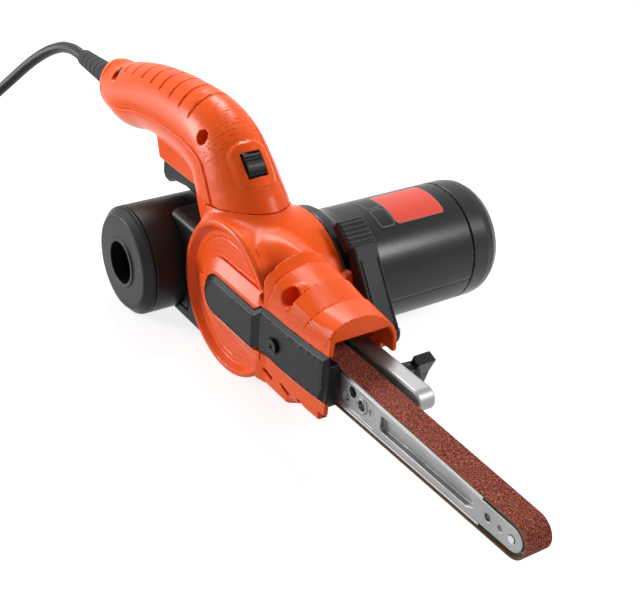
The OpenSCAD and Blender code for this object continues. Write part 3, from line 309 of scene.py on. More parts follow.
def gradient(field: Field, points: Array, step: float) -> tuple[Array, Array]:
    """Value and slope of a field at points, the slope from differences to both sides along each axis."""
    slope = [field(*(points + e).T) - field(*(points - e).T) for e in np.eye(3) * step]
    return field(*points.T), np.stack(slope, 1) / (2 * step)


def surface(field: Field, low: tuple, high: tuple, step: float) -> tuple[Array, Array, Array]:
    """The zero surface of a field as quads.

    Every grid cell whose corners differ in sign gets one vertex, the mean of the places where its sides cross
    zero. Every grid side that crosses zero gets a quad of the four cells round it. The vertices then slide down
    the field's slope onto the surface.

    Args:
        field: Signed distance in millimetres.
        low: Lowest corner of the room.
        high: Highest corner of the room.
        step: Side of a cell.

    Returns:
        Vertices, quads, and unit normals from the field's slope.
    """
    slides, probe, longest, least_slope = 3, step * 0.2, 0.6 * step, 0.2
    axes = [np.arange(a - 1.5 * step, b + 2.5 * step, step) for a, b in zip(low, high)]
    size = [len(a) for a in axes]
    value = np.broadcast_to(field(*np.meshgrid(*axes, indexing="ij", sparse=True)), size)
    solid = value < 0
    corners = [(i, j, k) for i in (0, 1) for j in (0, 1) for k in (0, 1)]
    count = sum(
        solid[i : size[0] - 1 + i, j : size[1] - 1 + j, k : size[2] - 1 + k].astype(np.int8) for i, j, k in corners
    )
    cells = np.argwhere((count > 0) & (count < 8))
    index = np.full([n - 1 for n in size], -1)
    index[tuple(cells.T)] = np.arange(len(cells))
    total, hits = np.zeros((len(cells), 3)), np.zeros(len(cells))
    units = np.eye(3, dtype=int)
    for axis, unit in enumerate(units):
        for corner in (c for c in corners if c[axis] == 0):
            a = value[tuple((cells + corner).T)]
            b = value[tuple((cells + corner + unit).T)]
            cross = (a < 0) != (b < 0)
            t = np.where(cross, a / np.where(cross, a - b, 1.0), 0.0)
            total += np.where(cross[:, None], np.array(corner) + t[:, None] * unit, 0.0)
            hits += cross
    points = np.array([a[0] for a in axes]) + (cells + total / hits[:, None]) * step
    quads = []
    for axis in range(3):
        second, third = (axis + 1) % 3, (axis + 2) % 3
        u, v = units[second], units[third]
        near = np.take(solid, range(size[axis] - 1), axis)
        change = np.argwhere(near != np.take(solid, range(1, size[axis]), axis))
        keep = ((change @ u) > 0) & ((change @ v) > 0) & ((change @ u) < size[second] - 1)
        change = change[keep & ((change @ v) < size[third] - 1)]
        ring = np.stack([index[tuple((change - s).T)] for s in (u + v, v, 0 * u, u)], 1)
        out = near[tuple(change.T)]
        quads.append(np.where(out[:, None], ring, ring[:, ::-1]))
    for _ in range(slides):
        level, slope = gradient(field, points, probe)
        length = np.maximum(np.sum(slope * slope, 1), least_slope)
        points = points - np.clip(level / length, -longest, longest)[:, None] * slope
    _, slope = gradient(field, points, probe)
    normals = slope / np.maximum(np.linalg.norm(slope, axis=1), 1e-6)[:, None]
    return points, np.concatenate(quads), normals


# Surfaces of two parameters


def grid_faces(rows: int, columns: int, closed: bool = True) -> Array:
    """Quads of a grid of vertices, row after row; where it is closed, the last column joins the first."""
    r = np.arange(rows - 1)[:, None]
    c = np.arange(columns if closed else columns - 1)[None, :]
    after = (c + 1) % columns
    quads = [a * columns + b for a, b in ((r, c), (r, after), (r + 1, after), (r + 1, c))]
    return np.stack(np.broadcast_arrays(*quads), -1).reshape(-1, 4)


def tube(line: Array, radius: float, sides: int) -> tuple[Array, Array]:
    """A round tube on a line, open at its ends: a circle square to the way at each point.

    Args:
        line: Points of the middle line.
        radius: Radius of the tube.
        sides: Points round it.

    Returns:
        Vertices and quads.
    """
    way = np.gradient(line, axis=0)
    way /= np.linalg.norm(way, axis=1)[:, None]
    side = np.cross(way, [0.0, 0.0, 1.0])
    side /= np.linalg.norm(side, axis=1)[:, None]
    up = np.cross(side, way)
    turn = np.linspace(0, 2 * np.pi, sides, endpoint=False)
    ring = side[:, None] * np.cos(turn)[None, :, None] + up[:, None] * np.sin(turn)[None, :, None]
    return (line[:, None] + radius * ring).reshape(-1, 3), grid_faces(len(line), sides)[:, ::-1]


def spline(points: Array, per_span: int) -> Array:
    """A smooth line through points: on each span the cubic whose end slopes are half the step between neighbours."""
    p = np.asarray(points, float)
    before, after = np.concatenate([p[:1], p[:-1]]), np.concatenate([p[1:], p[-1:]])
    slope = (after - before) / 2
    t = np.linspace(0, 1, per_span, endpoint=False)[None, :, None]
    a, b, sa, sb = p[:-1, None], p[1:, None], slope[:-1, None], slope[1:, None]
    first = (2 * t**3 - 3 * t**2 + 1) * a + (t**3 - 2 * t**2 + t) * sa
    line = first + (3 * t**2 - 2 * t**3) * b + (t**3 - t**2) * sb
    return np.concatenate([line.reshape(-1, p.shape[1]), p[-1:]])


def ellipse_field(u: Array, v: Array, a: Array, b: Array) -> Array:
    """Distance from an ellipse, near enough: how far past its unit circle, over the slope of that measure."""
    k = np.sqrt((u / a) ** 2 + (v / b) ** 2)
    slope = np.sqrt((u / a**2) ** 2 + (v / b**2) ** 2)
    return np.where(k > 1e-3, k * (k - 1) / np.maximum(slope, 1e-6), -np.minimum(a, b))


# Finishes


class Grain(Enum):
    """What the fine structure of a surface is, by the name of its node group."""

    MOULDED = "moulded grain"
    GRIT = "grit"
    LINES = "tool marks"


def feed(tree: Tree, node: bpy.types.Node, inputs: dict) -> None:
    """Sets inputs of a node.

    Args:
        tree: Material or group tree.
        node: A node of it.
        inputs: Socket name or number to a value, or to the socket that feeds it.
    """
    for key, value in inputs.items():
        if isinstance(value, Socket):
            tree.links.new(value, node.inputs[key])
        else:
            node.inputs[key].default_value = value


def place(tree: Tree, kind: str, inputs: dict | None = None, **settings: object) -> bpy.types.Node:
    """Adds a node to a tree.

    Args:
        tree: Material or group tree.
        kind: Blender's name of the node type.
        inputs: What its inputs are fed.
        settings: Attributes of the node itself.

    Returns:
        The new node.
    """
    made = tree.nodes.new(kind)
    for key, value in settings.items():
        setattr(made, key, value)
    feed(tree, made, inputs or {})
    return made


def ranged(tree: Tree, value: Socket, **limits: float) -> Socket:
    """A value carried from one range to another, each 0 to 1 where no limit is given."""
    named = {key.replace("_", " ").title(): limit for key, limit in limits.items()}
    return place(tree, "ShaderNodeMapRange", {"Value": value, **named}).outputs["Result"]


def noise(tree: Tree, where: Socket, scale: Socket | float, detail: float) -> Socket:
    """Noise of about 0 to 1 at a place."""
    return place(tree, "ShaderNodeTexNoise", {"Vector": where, "Scale": scale, "Detail": detail}).outputs["Fac"]


def new_group(grain: Grain, inputs: dict[str, float], outputs: list[str]) -> tuple:
    """A shader node group with number sockets.

    Args:
        grain: Which grain it makes.
        inputs: Socket names and their usual values.
        outputs: Names of the sockets that it puts out.

    Returns:
        The tree, its inputs as sockets, its output node, and the place on the piece as a socket.
    """
    tree = bpy.data.node_groups.new(grain.value, "ShaderNodeTree")
    for key, value in inputs.items():
        socket = tree.interface.new_socket(name=key, in_out="INPUT", socket_type="NodeSocketFloat")
        socket.default_value = value
    for key in outputs:
        tree.interface.new_socket(name=key, in_out="OUTPUT", socket_type="NodeSocketFloat")
    where = place(tree, "ShaderNodeTexCoord").outputs["Object"]
    return tree, tree.nodes.new("NodeGroupInput").outputs, tree.nodes.new("NodeGroupOutput"), where


def moulded_group() -> None:
    """Spark grain of a mould: fine noise for the height, and wide slow noise for patches of wear and sheen."""
    tree, given, out, where = new_group(Grain.MOULDED, {"Cells": 900.0, "Patches": 25.0}, ["Height", "Patch"])
    patch = ranged(tree, noise(tree, where, given["Patches"], 4.0), from_min=0.3, from_max=0.7)
    feed(tree, out, {"Height": noise(tree, where, given["Cells"], 3.0), "Patch": patch})


def grit_group() -> None:
    """Abrasive grains: cells that stand up to their middles, each with its own shade, and gaps that stay dark."""
    tree, given, out, where = new_group(Grain.GRIT, {"Cells": 1500.0}, ["Height", "Shade", "Gap"])
    cell = place(tree, "ShaderNodeTexVoronoi", {"Vector": where, "Scale": given["Cells"]}).outputs
    height = ranged(tree, cell["Distance"], from_max=0.7, to_min=1.0, to_max=0.0)
    shade = place(tree, "ShaderNodeSeparateColor", {"Color": cell["Color"]}).outputs["Red"]
    gap = ranged(tree, noise(tree, where, given["Cells"], 2.0), from_min=0.42, from_max=0.6)
    feed(tree, out, {"Height": height, "Shade": shade, "Gap": gap})


def lines_group() -> None:
    """Tool marks: noise drawn out along X, so that fine lines run the length of the piece."""
    tree, given, out, where = new_group(Grain.LINES, {"Cells": 900.0, "Draw": 0.03}, ["Height", "Patch"])
    stretch = place(tree, "ShaderNodeCombineXYZ", {"X": given["Draw"], "Y": 1.0, "Z": 1.0}).outputs["Vector"]
    drawn = place(tree, "ShaderNodeVectorMath", {0: where, 1: stretch}, operation="MULTIPLY").outputs["Vector"]
    feed(tree, out, {"Height": noise(tree, drawn, given["Cells"], 4.0), "Patch": noise(tree, where, 90.0, 5.0)})


@dataclass(frozen=True)
class Finish:
    """One surface: its colour as linear light, its gloss, and the grain that breaks both up.

    The drift shares say how far colour and roughness wander over the patches; the depth is the grain's in
    millimetres. Grit runs from its colour to a second one, and to a dark share of the first in its gaps.
    """

    name: str
    slot: str
    colour: tuple
    roughness: float
    grain: Grain = Grain.MOULDED
    metallic: float = 0.0
    shine: float = 0.3
    cells: float = 1400.0
    depth: float = 0.02
    drift: float = 0.06
    rough_drift: float = 0.05
    second: tuple = (0.0, 0.0, 0.0)
    gap_share: float = 0.32
    gloss_drift: float = 0.25

    def times(self, share: float) -> tuple:
        """The colour made darker or lighter by a share, with full cover."""
        return (*(min(1.0, c * share) for c in self.colour), 1.0)

    def mixed(self, tree: Tree, factor: Socket, a: tuple, b: tuple | Socket) -> Socket:
        """A colour between two, by a factor that changes over the surface."""
        return place(tree, "ShaderNodeMix", {0: factor, 6: a, 7: b}, data_type="RGBA").outputs[2]

    def material(self) -> bpy.types.Material:
        """The Blender material of this finish, built once."""
        if self.name in bpy.data.materials:
            return bpy.data.materials[self.name]
        made = bpy.data.materials.new(self.name)
        made.use_nodes = True
        tree = made.node_tree
        node = place(tree, "ShaderNodeGroup", node_tree=bpy.data.node_groups[self.grain.value])
        node.inputs["Cells"].default_value = self.cells
        grain = node.outputs
        if self.grain is Grain.GRIT:
            tint = self.mixed(tree, grain["Shade"], self.times(1.0), (*self.second, 1.0))
            colour = self.mixed(tree, grain["Gap"], self.times(self.gap_share), tint)
            low, high, over = self.roughness - self.gloss_drift, self.roughness, grain["Shade"]
        else:
            colour = self.mixed(tree, grain["Patch"], self.times(1 - self.drift), self.times(1 + self.drift))
            low, high, over = self.roughness - self.rough_drift, self.roughness + self.rough_drift, grain["Patch"]
        bumps = {"Height": grain["Height"], "Strength": 1.0, "Distance": self.depth / 1000}
        looks = {
            "Base Color": colour,
            "Roughness": ranged(tree, over, to_min=low, to_max=high),
            "Normal": place(tree, "ShaderNodeBump", bumps).outputs["Normal"],
            "Metallic": self.metallic,
            "Specular IOR Level": self.shine,
        }
        feed(tree, tree.nodes["Principled BSDF"], looks)
        made.diffuse_color = (*self.colour, 1.0)
        return made


ORANGE = Finish("orange shell", "orange_shell", (0.88, 0.096, 0.007), 0.32, depth=0.012, drift=0.03, shine=0.2)
BLACK = Finish("black satin", "black_plastic", (0.009, 0.009, 0.0095), 0.38, depth=0.03, drift=0.12, shine=0.2)
LEVER = Finish("lever black", "black_plastic", (0.018, 0.0185, 0.019), 0.46, depth=0.04, drift=0.12, shine=0.18)
COVER = Finish("cover black", "cover_plastic", (0.008, 0.0085, 0.009), 0.34, depth=0.025, drift=0.1, shine=0.16)
MOTOR = Finish("motor black", "motor_shell", (0.007, 0.007, 0.0075), 0.3, depth=0.008, drift=0.1, rough_drift=0.03)
MOTOR_CAP = Finish("motor cap grey", "motor_cap_shell", (0.014, 0.014, 0.015), 0.3, depth=0.01, drift=0.1)
PANEL = Finish("panel red", "orange_shell", (0.74, 0.075, 0.045), 0.3, depth=0.004, drift=0.03)
LINE = Finish("panel line", "motor_shell", (0.15, 0.15, 0.15), 0.4, depth=0.004)
GRIT = Finish("belt grit", "grit_belt", (0.29, 0.050, 0.030), 0.85, Grain.GRIT, cells=1900.0, depth=0.35, shine=0.1,
              second=(0.62, 0.2, 0.135))
CLOTH = Finish("belt cloth", "grit_belt", (0.17, 0.105, 0.058), 0.8, Grain.LINES, cells=2400.0, depth=0.12,
               drift=0.25)
CAST = Finish("cast aluminium", "cast_aluminium", (0.29, 0.29, 0.295), 0.46, Grain.MOULDED, 1.0, cells=700.0,
              depth=0.12, drift=0.2)
BRIGHT = Finish("machined aluminium", "cast_aluminium", (0.27, 0.27, 0.27), 0.46, Grain.LINES, 1.0, cells=1600.0,
                depth=0.03, drift=0.14)
STEEL = Finish("ground steel", "steel", (0.55, 0.55, 0.56), 0.28, Grain.LINES, 1.0, cells=1800.0, depth=0.02)
SCREW = Finish("black screw", "screw_steel", (0.03, 0.03, 0.032), 0.36, Grain.MOULDED, 1.0, depth=0.02)
IRON = Finish("core iron", "core_iron", (0.2, 0.2, 0.21), 0.5, Grain.LINES, 1.0)
COPPER = Finish("copper", "copper", (0.72, 0.3, 0.13), 0.35, Grain.LINES, 1.0)
CARBON = Finish("carbon", "carbon", (0.02, 0.02, 0.02), 0.6)
BOARD = Finish("board green", "board", (0.02, 0.12, 0.04), 0.4)
RUBBER = Finish("rubber", "rubber", (0.018, 0.018, 0.019), 0.5, depth=0.04, drift=0.15)
CORD = Finish("cord jacket", "cord_rubber", (0.012, 0.012, 0.0125), 0.48, depth=0.05, drift=0.15)


class CadFinish(Enum):
    """Finishes of the solids that stay as they are, by node."""

    STEEL = (STEEL, ("nose_pin", "lever_pin", "front_bearing", "rear_bearing", "armature_shaft", "platen_strips",
                     "trigger_pin", "trigger_spring", "tension_spring", "brush_springs", "plug_pins"))
    BRIGHT = (BRIGHT, ("drive_roller", "nose_roller", "bearing_plate"))
    SCREW = (SCREW, ("handle_screws", "cover_screw", "nose_screw", "end_cap_screws"))
    IRON = (IRON, ("armature_core", "field_core"))
    COPPER = (COPPER, ("armature_winding", "commutator", "field_coils", "brush_holders"))
    CARBON = (CARBON, ("carbon_brushes",))
    BOARD = (BOARD, ("control_board",))
    BLACK = (BLACK, ("cooling_fan", "power_switch", "vortex_tube", "cord_clamp", "coil_tie", "speed_dial"))
    RUBBER = (RUBBER, ("canister_seal",))

    def dress(self) -> None:
        """Gives each of the nodes the finish."""
        finish, nodes = self.value
        for name in nodes:
            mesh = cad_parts[name].data
            mesh.materials.clear()
            mesh.materials.append(finish.material())


def add_piece(
    name: str,
    points: Array,
    faces: Array,
    finishes: list[Finish],
    body: str,
    replaces: tuple = (),
    normals: Array | None = None,
    of_face: Array | None = None,
) -> bpy.types.Object:
    """Makes a mesh object of the part.

    Args:
        name: Name of the piece.
        points: Vertices in tool millimetres.
        faces: Quads.
        finishes: Its finishes; the first one names the record's slot.
        body: Body that it moves with.
        replaces: Solids that it stands for.
        normals: Unit normals of the vertices, where the surface has them.
        of_face: Number of each face's finish.

    Returns:
        The object, at the origin.
    """
    mesh = bpy.data.meshes.new(name)
    mesh.from_pydata(to_frame(points), [], faces.tolist())
    mesh.polygons.foreach_set("use_smooth", np.ones(len(mesh.polygons), bool))
    if of_face is not None:
        mesh.polygons.foreach_set("material_index", of_face.astype(np.int32))
    for finish in finishes:
        mesh.materials.append(finish.material())
    mesh.update()
    if normals is not None:
        mesh.normals_split_custom_set_from_vertices(normals)
    made = put(name, mesh)
    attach(made, body)
    if replaces:
        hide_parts(*replaces)
    log.info("%s: %d faces", name, len(mesh.polygons))
    return made


def moulded(
    name: str, field: Field, room: tuple, step: float, finish: Finish, body: str, *replaces: str
) -> bpy.types.Object:
    """A piece whose surface is the zero surface of a field, in a room of two corners."""
    points, quads, normals = surface(field, *room, step)
    return add_piece(name, points, quads, [finish], body, replaces, normals)


# Pieces


@dataclass
class PowerCord:
    """Power cord from the strain relief: a free stretch down to the floor, a flat coil of two layers, and a tail.

    The free stretch and the tail run through points. The coil goes in on its lower layer and out on its upper
    one: its radius is the inner radius plus the pitch times the turns that are left to the middle, and over half
    a turn at the middle it climbs one pitch.
    """

    start: tuple = (-209.5, HANDLE_MID, CORD_Z)
    diameter: float = 7.0
    route: tuple = (
        (0, 0, 0), (-7, 0, 0), (-14, 0, 0), (-22, 0, -1), (-34, -1, -4), (-48, -5, -11), (-62, -11, -22),
        (-75, -19, -36), (-87, -29, -51), (-97, -40, -65), (-105, -53, -76.5), (-110, -66, -83.5), (-112, -80, -86.2),
        (-112, -90, -86.6), (-112, -100, -86.6),
    )
    turns: float = 7.25
    per_turn: int = 40
    per_span: int = 6
    sides: int = 14
    inner: float = 28.0
    pitch: float = 7.7
    climb: float = 0.5
    tail: tuple = ((0, 0, 0), (7, 0, 0), (14, 0, -2), (22, 0, -4.5), (29, 0, -6), (36, 0, -6))

    def coil(self, entry: Array) -> Array:
        """Points of the coil, from the turns that have passed: angle, radius and height as the class says."""
        t = np.linspace(0, self.turns, int(self.turns * self.per_turn) + 1)
        r = self.inner + self.pitch * np.abs(self.turns / 2 - t)
        a = np.pi + 2 * np.pi * t
        height = self.pitch * eased((t - self.turns / 2) / self.climb + 0.5)
        middle = entry + [self.inner + self.pitch * self.turns / 2, -self.diameter, 0]
        return middle + np.stack([r * np.cos(a), r * np.sin(a), height], 1)

    def line(self) -> Array:
        """The whole middle line in tool millimetres."""
        free = spline(np.array(self.start) + np.array(self.route, float), self.per_span)
        coil = self.coil(free[-1])
        end = coil[-1] + [self.diameter, 0, 0]
        return np.concatenate([free, coil, spline(end + np.array(self.tail, float), self.per_span)])

    def build(self, relief: bpy.types.Object, plug: bpy.types.Object) -> None:
        """Args:
            relief: The strain relief that it leaves; not used.
            plug: The plug on its far end; not used.
        """
        line = self.line()
        points, faces = tube(line, self.diameter / 2, self.sides)
        made = add_piece("cord", points, faces, [CORD], TOOL, ("power_cord", "cord_coil", "cord_tail"))
        path = to_frame(line)


def neck_depth(x: Array, z: Array) -> Array:
    """How far a place lies below the joint of the grip's neck and the body: flat in front, slanted at the rear."""
    dx, dz = x - NECK[0], z - NECK[1]
    flat = 6.5 + 0.144 * dx - 0.9896 * dz
    slanted = NECK_WAY[1] * dx - NECK_WAY[0] * dz
    return join(flat, meet(slanted, x + 27.0))


def duct(y: Array, z: Array) -> Array:
    """Distance from the round duct that leads from the drum to the canister, in Y and Z."""
    return np.hypot(y - 8.0, z + 6.0) - 12.0


@dataclass
class Body:
    """Orange body: a dished drum, a collar for the grip's neck, a raised band and a nose with four straps on its roof.

    The nose runs through sections at given X: each is its roof from the right wall over to the left one, in Y and
    Z. The tunnel, mouth, chin, window, guide and stop are boxes given by two corners.
    """

    drum_r: float = 40.0
    left_r: float = 37.4
    left: float = 34.0
    rim: float = -13.0
    dish: float = -9.9
    wall: float = 2.4
    floor: float = -8.3
    nose_front: float = 88.0
    section_x: tuple = (33.0, 43.5, 58.5, 73.0, 88.0)
    section_low: tuple = (-24.3, -24.3, -24.3, -18.2, -17.4)
    sections: tuple = (
        ((-13.5, 29.0), (-10.5, 33.5), (-6.0, 36.6), (0.0, 38.8), (5.0, 39.6), (11.0, 38.2), (17.5, 33.6),
         (22.0, 26.5), (23.4, 16.0)),
        ((-13.6, 25.5), (-12.4, 30.2), (-7.4, 33.6), (-1.0, 35.4), (5.7, 35.8), (12.5, 34.6), (18.6, 31.6),
         (22.3, 26.0), (23.4, 17.0)),
        ((-13.6, 24.5), (-11.8, 28.8), (-6.8, 32.2), (-1.7, 33.7), (4.8, 34.3), (12.3, 33.0), (18.5, 29.4),
         (22.2, 24.0), (23.4, 16.0)),
        ((-13.7, 24.5), (-12.2, 28.2), (-7.4, 30.6), (-2.0, 31.6), (4.0, 32.0), (12.0, 31.0), (18.0, 27.6),
         (22.0, 22.0), (23.4, 15.0)),
        ((-13.7, 26.6), (-11.9, 30.4), (-7.3, 32.8), (-1.1, 34.0), (5.0, 33.6), (11.5, 31.4), (18.4, 26.4),
         (22.2, 20.4), (23.4, 13.0)),
    )
    strap_starts: tuple = (36.5, 43.5, 58.2, 72.8, 88.0)
    strap_lows: tuple = (-40.0, 19.5, 19.8, 21.2)
    strap_out: float = 1.7
    strap_groove: float = 0.9
    shoulder_z: float = 38.8
    neck_half: tuple = (29.0, 21.2)
    band_face: float = -15.0
    band_half: float = 19.6
    band_low: float = 23.0
    band_end: float = -4.0
    screw_at: tuple = (53.5, 29.4)
    screw_r: float = 4.1
    tunnel: tuple = ((0.0, -8.3, -17.6), (95.0, 21.1, 24.5))
    mouth: tuple = ((36.4, -11.3, -17.0), (95.0, 21.1, 24.5))
    chin: tuple = ((84.0, -20.0, -40.0), (95.0, 30.0, -13.0))
    window: tuple = ((79.0, 18.0, -10.0), (95.0, 30.0, 10.5))
    guide: tuple = ((27.0, 18.3, 1.0), (75.0, 21.6, 12.0))
    stop: tuple = ((27.0, 9.0, 1.0), (30.0, 20.0, 12.0))
    slot_starts: tuple = (38.2, 52.4, 66.6)
    slot: tuple = ((0.0, -17.0), (1.2, -16.6), (8.4, -18.3), (7.4, -19.9), (3.6, -18.9))

    def roof(self, y: Array, z: Array) -> list:
        """Distance from each section: its roof smoothed past its first corner, closed by two walls and a floor."""
        made = []
        for low, rows in zip(self.section_low, self.sections):
            arch = np.concatenate([[rows[0]], spline(np.array(rows[1:]), 3)])
            made.append(polygon([(rows[0][0], low), *map(tuple, arch), (rows[-1][0], low)], 0.8)(y, z))
        return made

    def straps(self, x: Array, y: Array, z: Array) -> Array:
        """How far the straps stand out.

        Each is highest at its rear edge and sinks to its front one, with a groove behind it. Below the roof's
        corner the edges lean back, and on the right wall a strap ends at its own height.
        """
        along = x + 0.42 * np.clip(28.5 - z, 0, 8)
        left = fraction((z - 13.0) / 4.0) * fraction((20.0 - y) / 4.0)
        out = 0.0
        for k, (start, end, low) in enumerate(zip(self.strap_starts, self.strap_starts[1:], self.strap_lows)):
            sink = 1 - 0.8 * fraction((along - start) / (end - start))
            inside = fraction((along - start) / 0.5 + 0.5) * (along < end)
            tall = np.where(y < -8.0, fraction((z - low) / 0.6 + 0.5), left)
            out = out + self.strap_out * sink * inside * tall
            if k:
                out = out - self.strap_groove * ridge(along - start + 0.5, 0.6) * tall
        return out

    def skin(self, x: Array, y: Array, z: Array) -> Array:
        """The nose without straps and ends: between two sections the mean of their distances by nearness."""
        at = np.clip(x, self.section_x[0], self.section_x[-1])
        weights = (np.interp(at, self.section_x, row) for row in np.eye(len(self.section_x)))
        return sum(flat * weight for flat, weight in zip(self.roof(y, z), weights))

    def nose(self, x: Array, y: Array, z: Array) -> Array:
        """The nose: its skin, less what the straps stand out, cut at both ends.

        Behind the first strap a shoulder leads up from the drum's round to the roof, by a smooth step over Y.
        """
        whole = self.skin(x, y, z) - self.straps(x, y, z)
        drum = np.sqrt(np.maximum(self.drum_r**2 - x**2, 0.0))
        shoulder = 0.6 * (z - drum - (self.shoulder_z - drum) * eased((y + 8.6) / 15.0))
        whole = np.where(x < self.strap_starts[0] - 0.3, np.maximum(whole, shoulder), whole)
        rear = 2.0 - x + fraction(-8.0 - y) * (29.5 + 0.33 * (z - 17.0))
        return meet(whole, rear, x - self.nose_front)

    def collar(self, x: Array, y: Array, z: Array, grow: float, low: float, high: float) -> Array:
        """An elliptical bar along the neck's end; low and high are depths below that end."""
        ux, uz = NECK_WAY
        dx, dz = x - NECK[0], z - NECK[1]
        long, wide = (half + grow for half in self.neck_half)
        return slab(ellipse_field(dx * ux + dz * uz, y - HANDLE_MID, long, wide), dx * uz - dz * ux, low, high)

    def band(self, x: Array, y: Array, z: Array) -> Array:
        """The band that carries the cover: a step with a round rear end and slanted sides, and a low step below it."""
        front = self.section_x[0] + 3.0
        flat = np.where(x > self.band_end, np.abs(z), np.hypot(x - self.band_end, z))
        slant = ((flat - 13.0) * 3.2 + (self.band_face - y) * 6.6) / 7.33
        upper = meet(flat - self.band_half, slant, self.band_face - y, x - front)
        lower = meet(slab(flat - self.band_low, y, self.rim + 1.2, 0.0, 0.6), x - front, z - 2.0)
        return join(upper, lower)

    def hollows(self, x: Array, y: Array, z: Array) -> Array:
        """The chamber, the neck's inside, the chin, and the nose's tunnel and mouth, which keep inside its skin."""
        chamber = meet(np.hypot(x, z) - (self.left_r - self.wall), self.floor - y)
        neck = self.collar(x, y, z, -3.6, -20.0, 27.0)
        nose = join(block(x, y, z, *self.tunnel, 1.0), block(x, y, z, *self.mouth, 1.0))
        inside = np.where((x > self.section_x[0]) & (z > 0.0), self.skin(x, y, z) + 2.2, -9.0)
        return join(chamber, neck, meet(nose, inside), block(x, y, z, *self.chin))

    def holes(self, x: Array, y: Array, z: Array) -> Array:
        """The cover's pocket and what lies behind it, the screw and pin holes, the duct, the window and the slots."""
        cover = Cover()
        cuts = [
            meet(cover.outline(0.35)(x, z), y + 11.0),
            meet(cover.outline(-2.4)(x, z), y + 7.5, -18.0 - y),
            rod(x, y, z, self.screw_at, self.screw_r, -25.0, -4.5),
            rod(x, y, z, LEVER_PIN, 3.05, 15.0, 40.0),
            meet(duct(y, z), x + 20.0),
            block(x, y, z, *self.window, 2.0),
        ]
        for start in self.slot_starts:
            corners = [(start + a, b) for a, b in self.slot]
            cuts.append(meet(polygon(corners)(x, z), y + 9.0))
        return join(*cuts)

    def field(self, x: Array, y: Array, z: Array) -> Array:
        """The body: drum, collar, band and nose joined, less the hollows and the holes, with a guide and a stop."""
        far = np.hypot(x, z)
        lip, lip_r = self.rim + 0.15, 36.7
        profile = [
            (0.0, self.dish), (34.0, self.dish), (lip_r, lip), (38.4, self.rim), (39.4, self.rim + 0.5),
            (self.drum_r, self.rim + 1.8), (39.4, 5.0), (self.left_r, self.left), (0.0, self.left),
        ]
        collar = meet(self.collar(x, y, z, -0.9, -20.0, 26.0), 0.3 - neck_depth(x, z))
        solid = smooth_min(polygon(profile)(far, y), collar, 6.0)
        dished = polygon([(0.0, -40.0), (lip_r, -40.0), (lip_r, lip), (34.0, self.dish), (0.0, self.dish)])(far, y)
        ring = 0.1 * np.cos(far * 2.2) * ((far > 20) & (far < 28.5)) + 0.5 * ridge(far - 30.6, 0.6)
        solid = smooth_cut(solid, dished - ring, 0.25)
        solid = smooth_min(solid, self.band(x, y, z), 0.5)
        solid = smooth_min(solid, self.nose(x, y, z), 1.0)
        solid = smooth_cut(solid, self.hollows(x, y, z), 0.5)
        solid = smooth_min(solid, rod(x, y, z, self.screw_at, 5.0, -9.0, -3.0, 0.4), 0.4)
        solid = smooth_cut(solid, self.holes(x, y, z), 0.5)
        return join(solid, block(x, y, z, *self.guide, 0.3), block(x, y, z, *self.stop, 0.3))

    def build(self) -> None:
        """Makes the body."""
        room = ((-47.0, -17.0, -41.0), (89.0, 36.0, 58.0))
        moulded("body", self.field, room, 0.78, ORANGE, TOOL, "body_housing")


@dataclass
class Cover:
    """Black belt cover: a round rear part, and past a ramp a lower front part with a flange at its front end."""

    rear: float = -15.0
    bend: float = 30.0
    ramp: float = 5.0
    front: float = 87.6
    half: float = 10.7
    low: float = 9.0
    high: float = 15.0
    rise: float = 2.5
    sag: float = 2.2
    face: float = -16.5
    back: float = -12.5
    sink: float = 1.6
    flank: float = 1.9
    screw_at: tuple = (47.5, 1.0)
    flange: tuple = ((84.0, -13.2, -9.0), (87.9, -7.4, 12.6))

    def outline(self, grow: float) -> Flat:
        """The cover's outline in X and Z, moved out by an amount."""
        turn = np.linspace(-0.5 * np.pi, -1.5 * np.pi, 17)
        back = np.stack([self.rear + self.half + self.half * np.cos(turn), self.half * np.sin(turn)], 1)
        t = np.linspace(0, 1, 6)
        start = self.bend + self.ramp
        along = start + (self.front - start) * t
        top, low = (
            np.stack([along, edge + self.rise * t - self.sag * t * (1 - t) * 2], 1) for edge in (self.high, -self.low)
        )
        corners = np.concatenate([back, [[self.bend, self.half]], top, low[::-1], [[self.bend, -self.half]]])
        shape = polygon(corners)
        return lambda x, z: shape(x, z) - grow

    def field(self, x: Array, y: Array, z: Array) -> Array:
        """A slab with slanted flanks, wider above than below, ramped down in front, with the front flange."""
        flat = self.outline(0.0)(x, z)
        face = self.face + self.sink * fraction((x - self.bend) / self.ramp)
        across = np.where(z > 2.0, 2.3, 1.3)
        slant = (flat + across + (face - y) * across / self.flank) / np.hypot(1.0, across / self.flank)
        end = (x - 89.6 + 0.27 * (16.0 - z) + (face - y) * 0.8) / 1.3
        plate = meet(flat, face - y, y - self.back, slant, end)
        off_ramp = 33.0 - x - 200.0 * (x < self.bend - 0.8)
        groove = meet(np.abs(flat + across + 0.9) - 0.3, y - face - 0.25, off_ramp)
        plate = smooth_cut(plate, groove, 0.15)
        seat = rod(x, y, z, self.screw_at, 4.3, -30.0, self.face + self.sink + 0.35)
        hole = rod(x, y, z, self.screw_at, 2.1, -30.0, 0.0)
        return smooth_cut(join(plate, block(x, y, z, *self.flange, 0.5)), join(seat, hole), 0.25)

    def build(self) -> None:
        """Makes the cover."""
        moulded("cover", self.field, ((-16.0, -17.0, -12.0), (89.5, -7.0, 18.5)), 0.45, COVER, TOOL, "belt_cover")


class Side(Enum):
    """Which shell of the grip, as the sign of the seam's distance inside it."""

    RIGHT = 1.0
    LEFT = -1.0


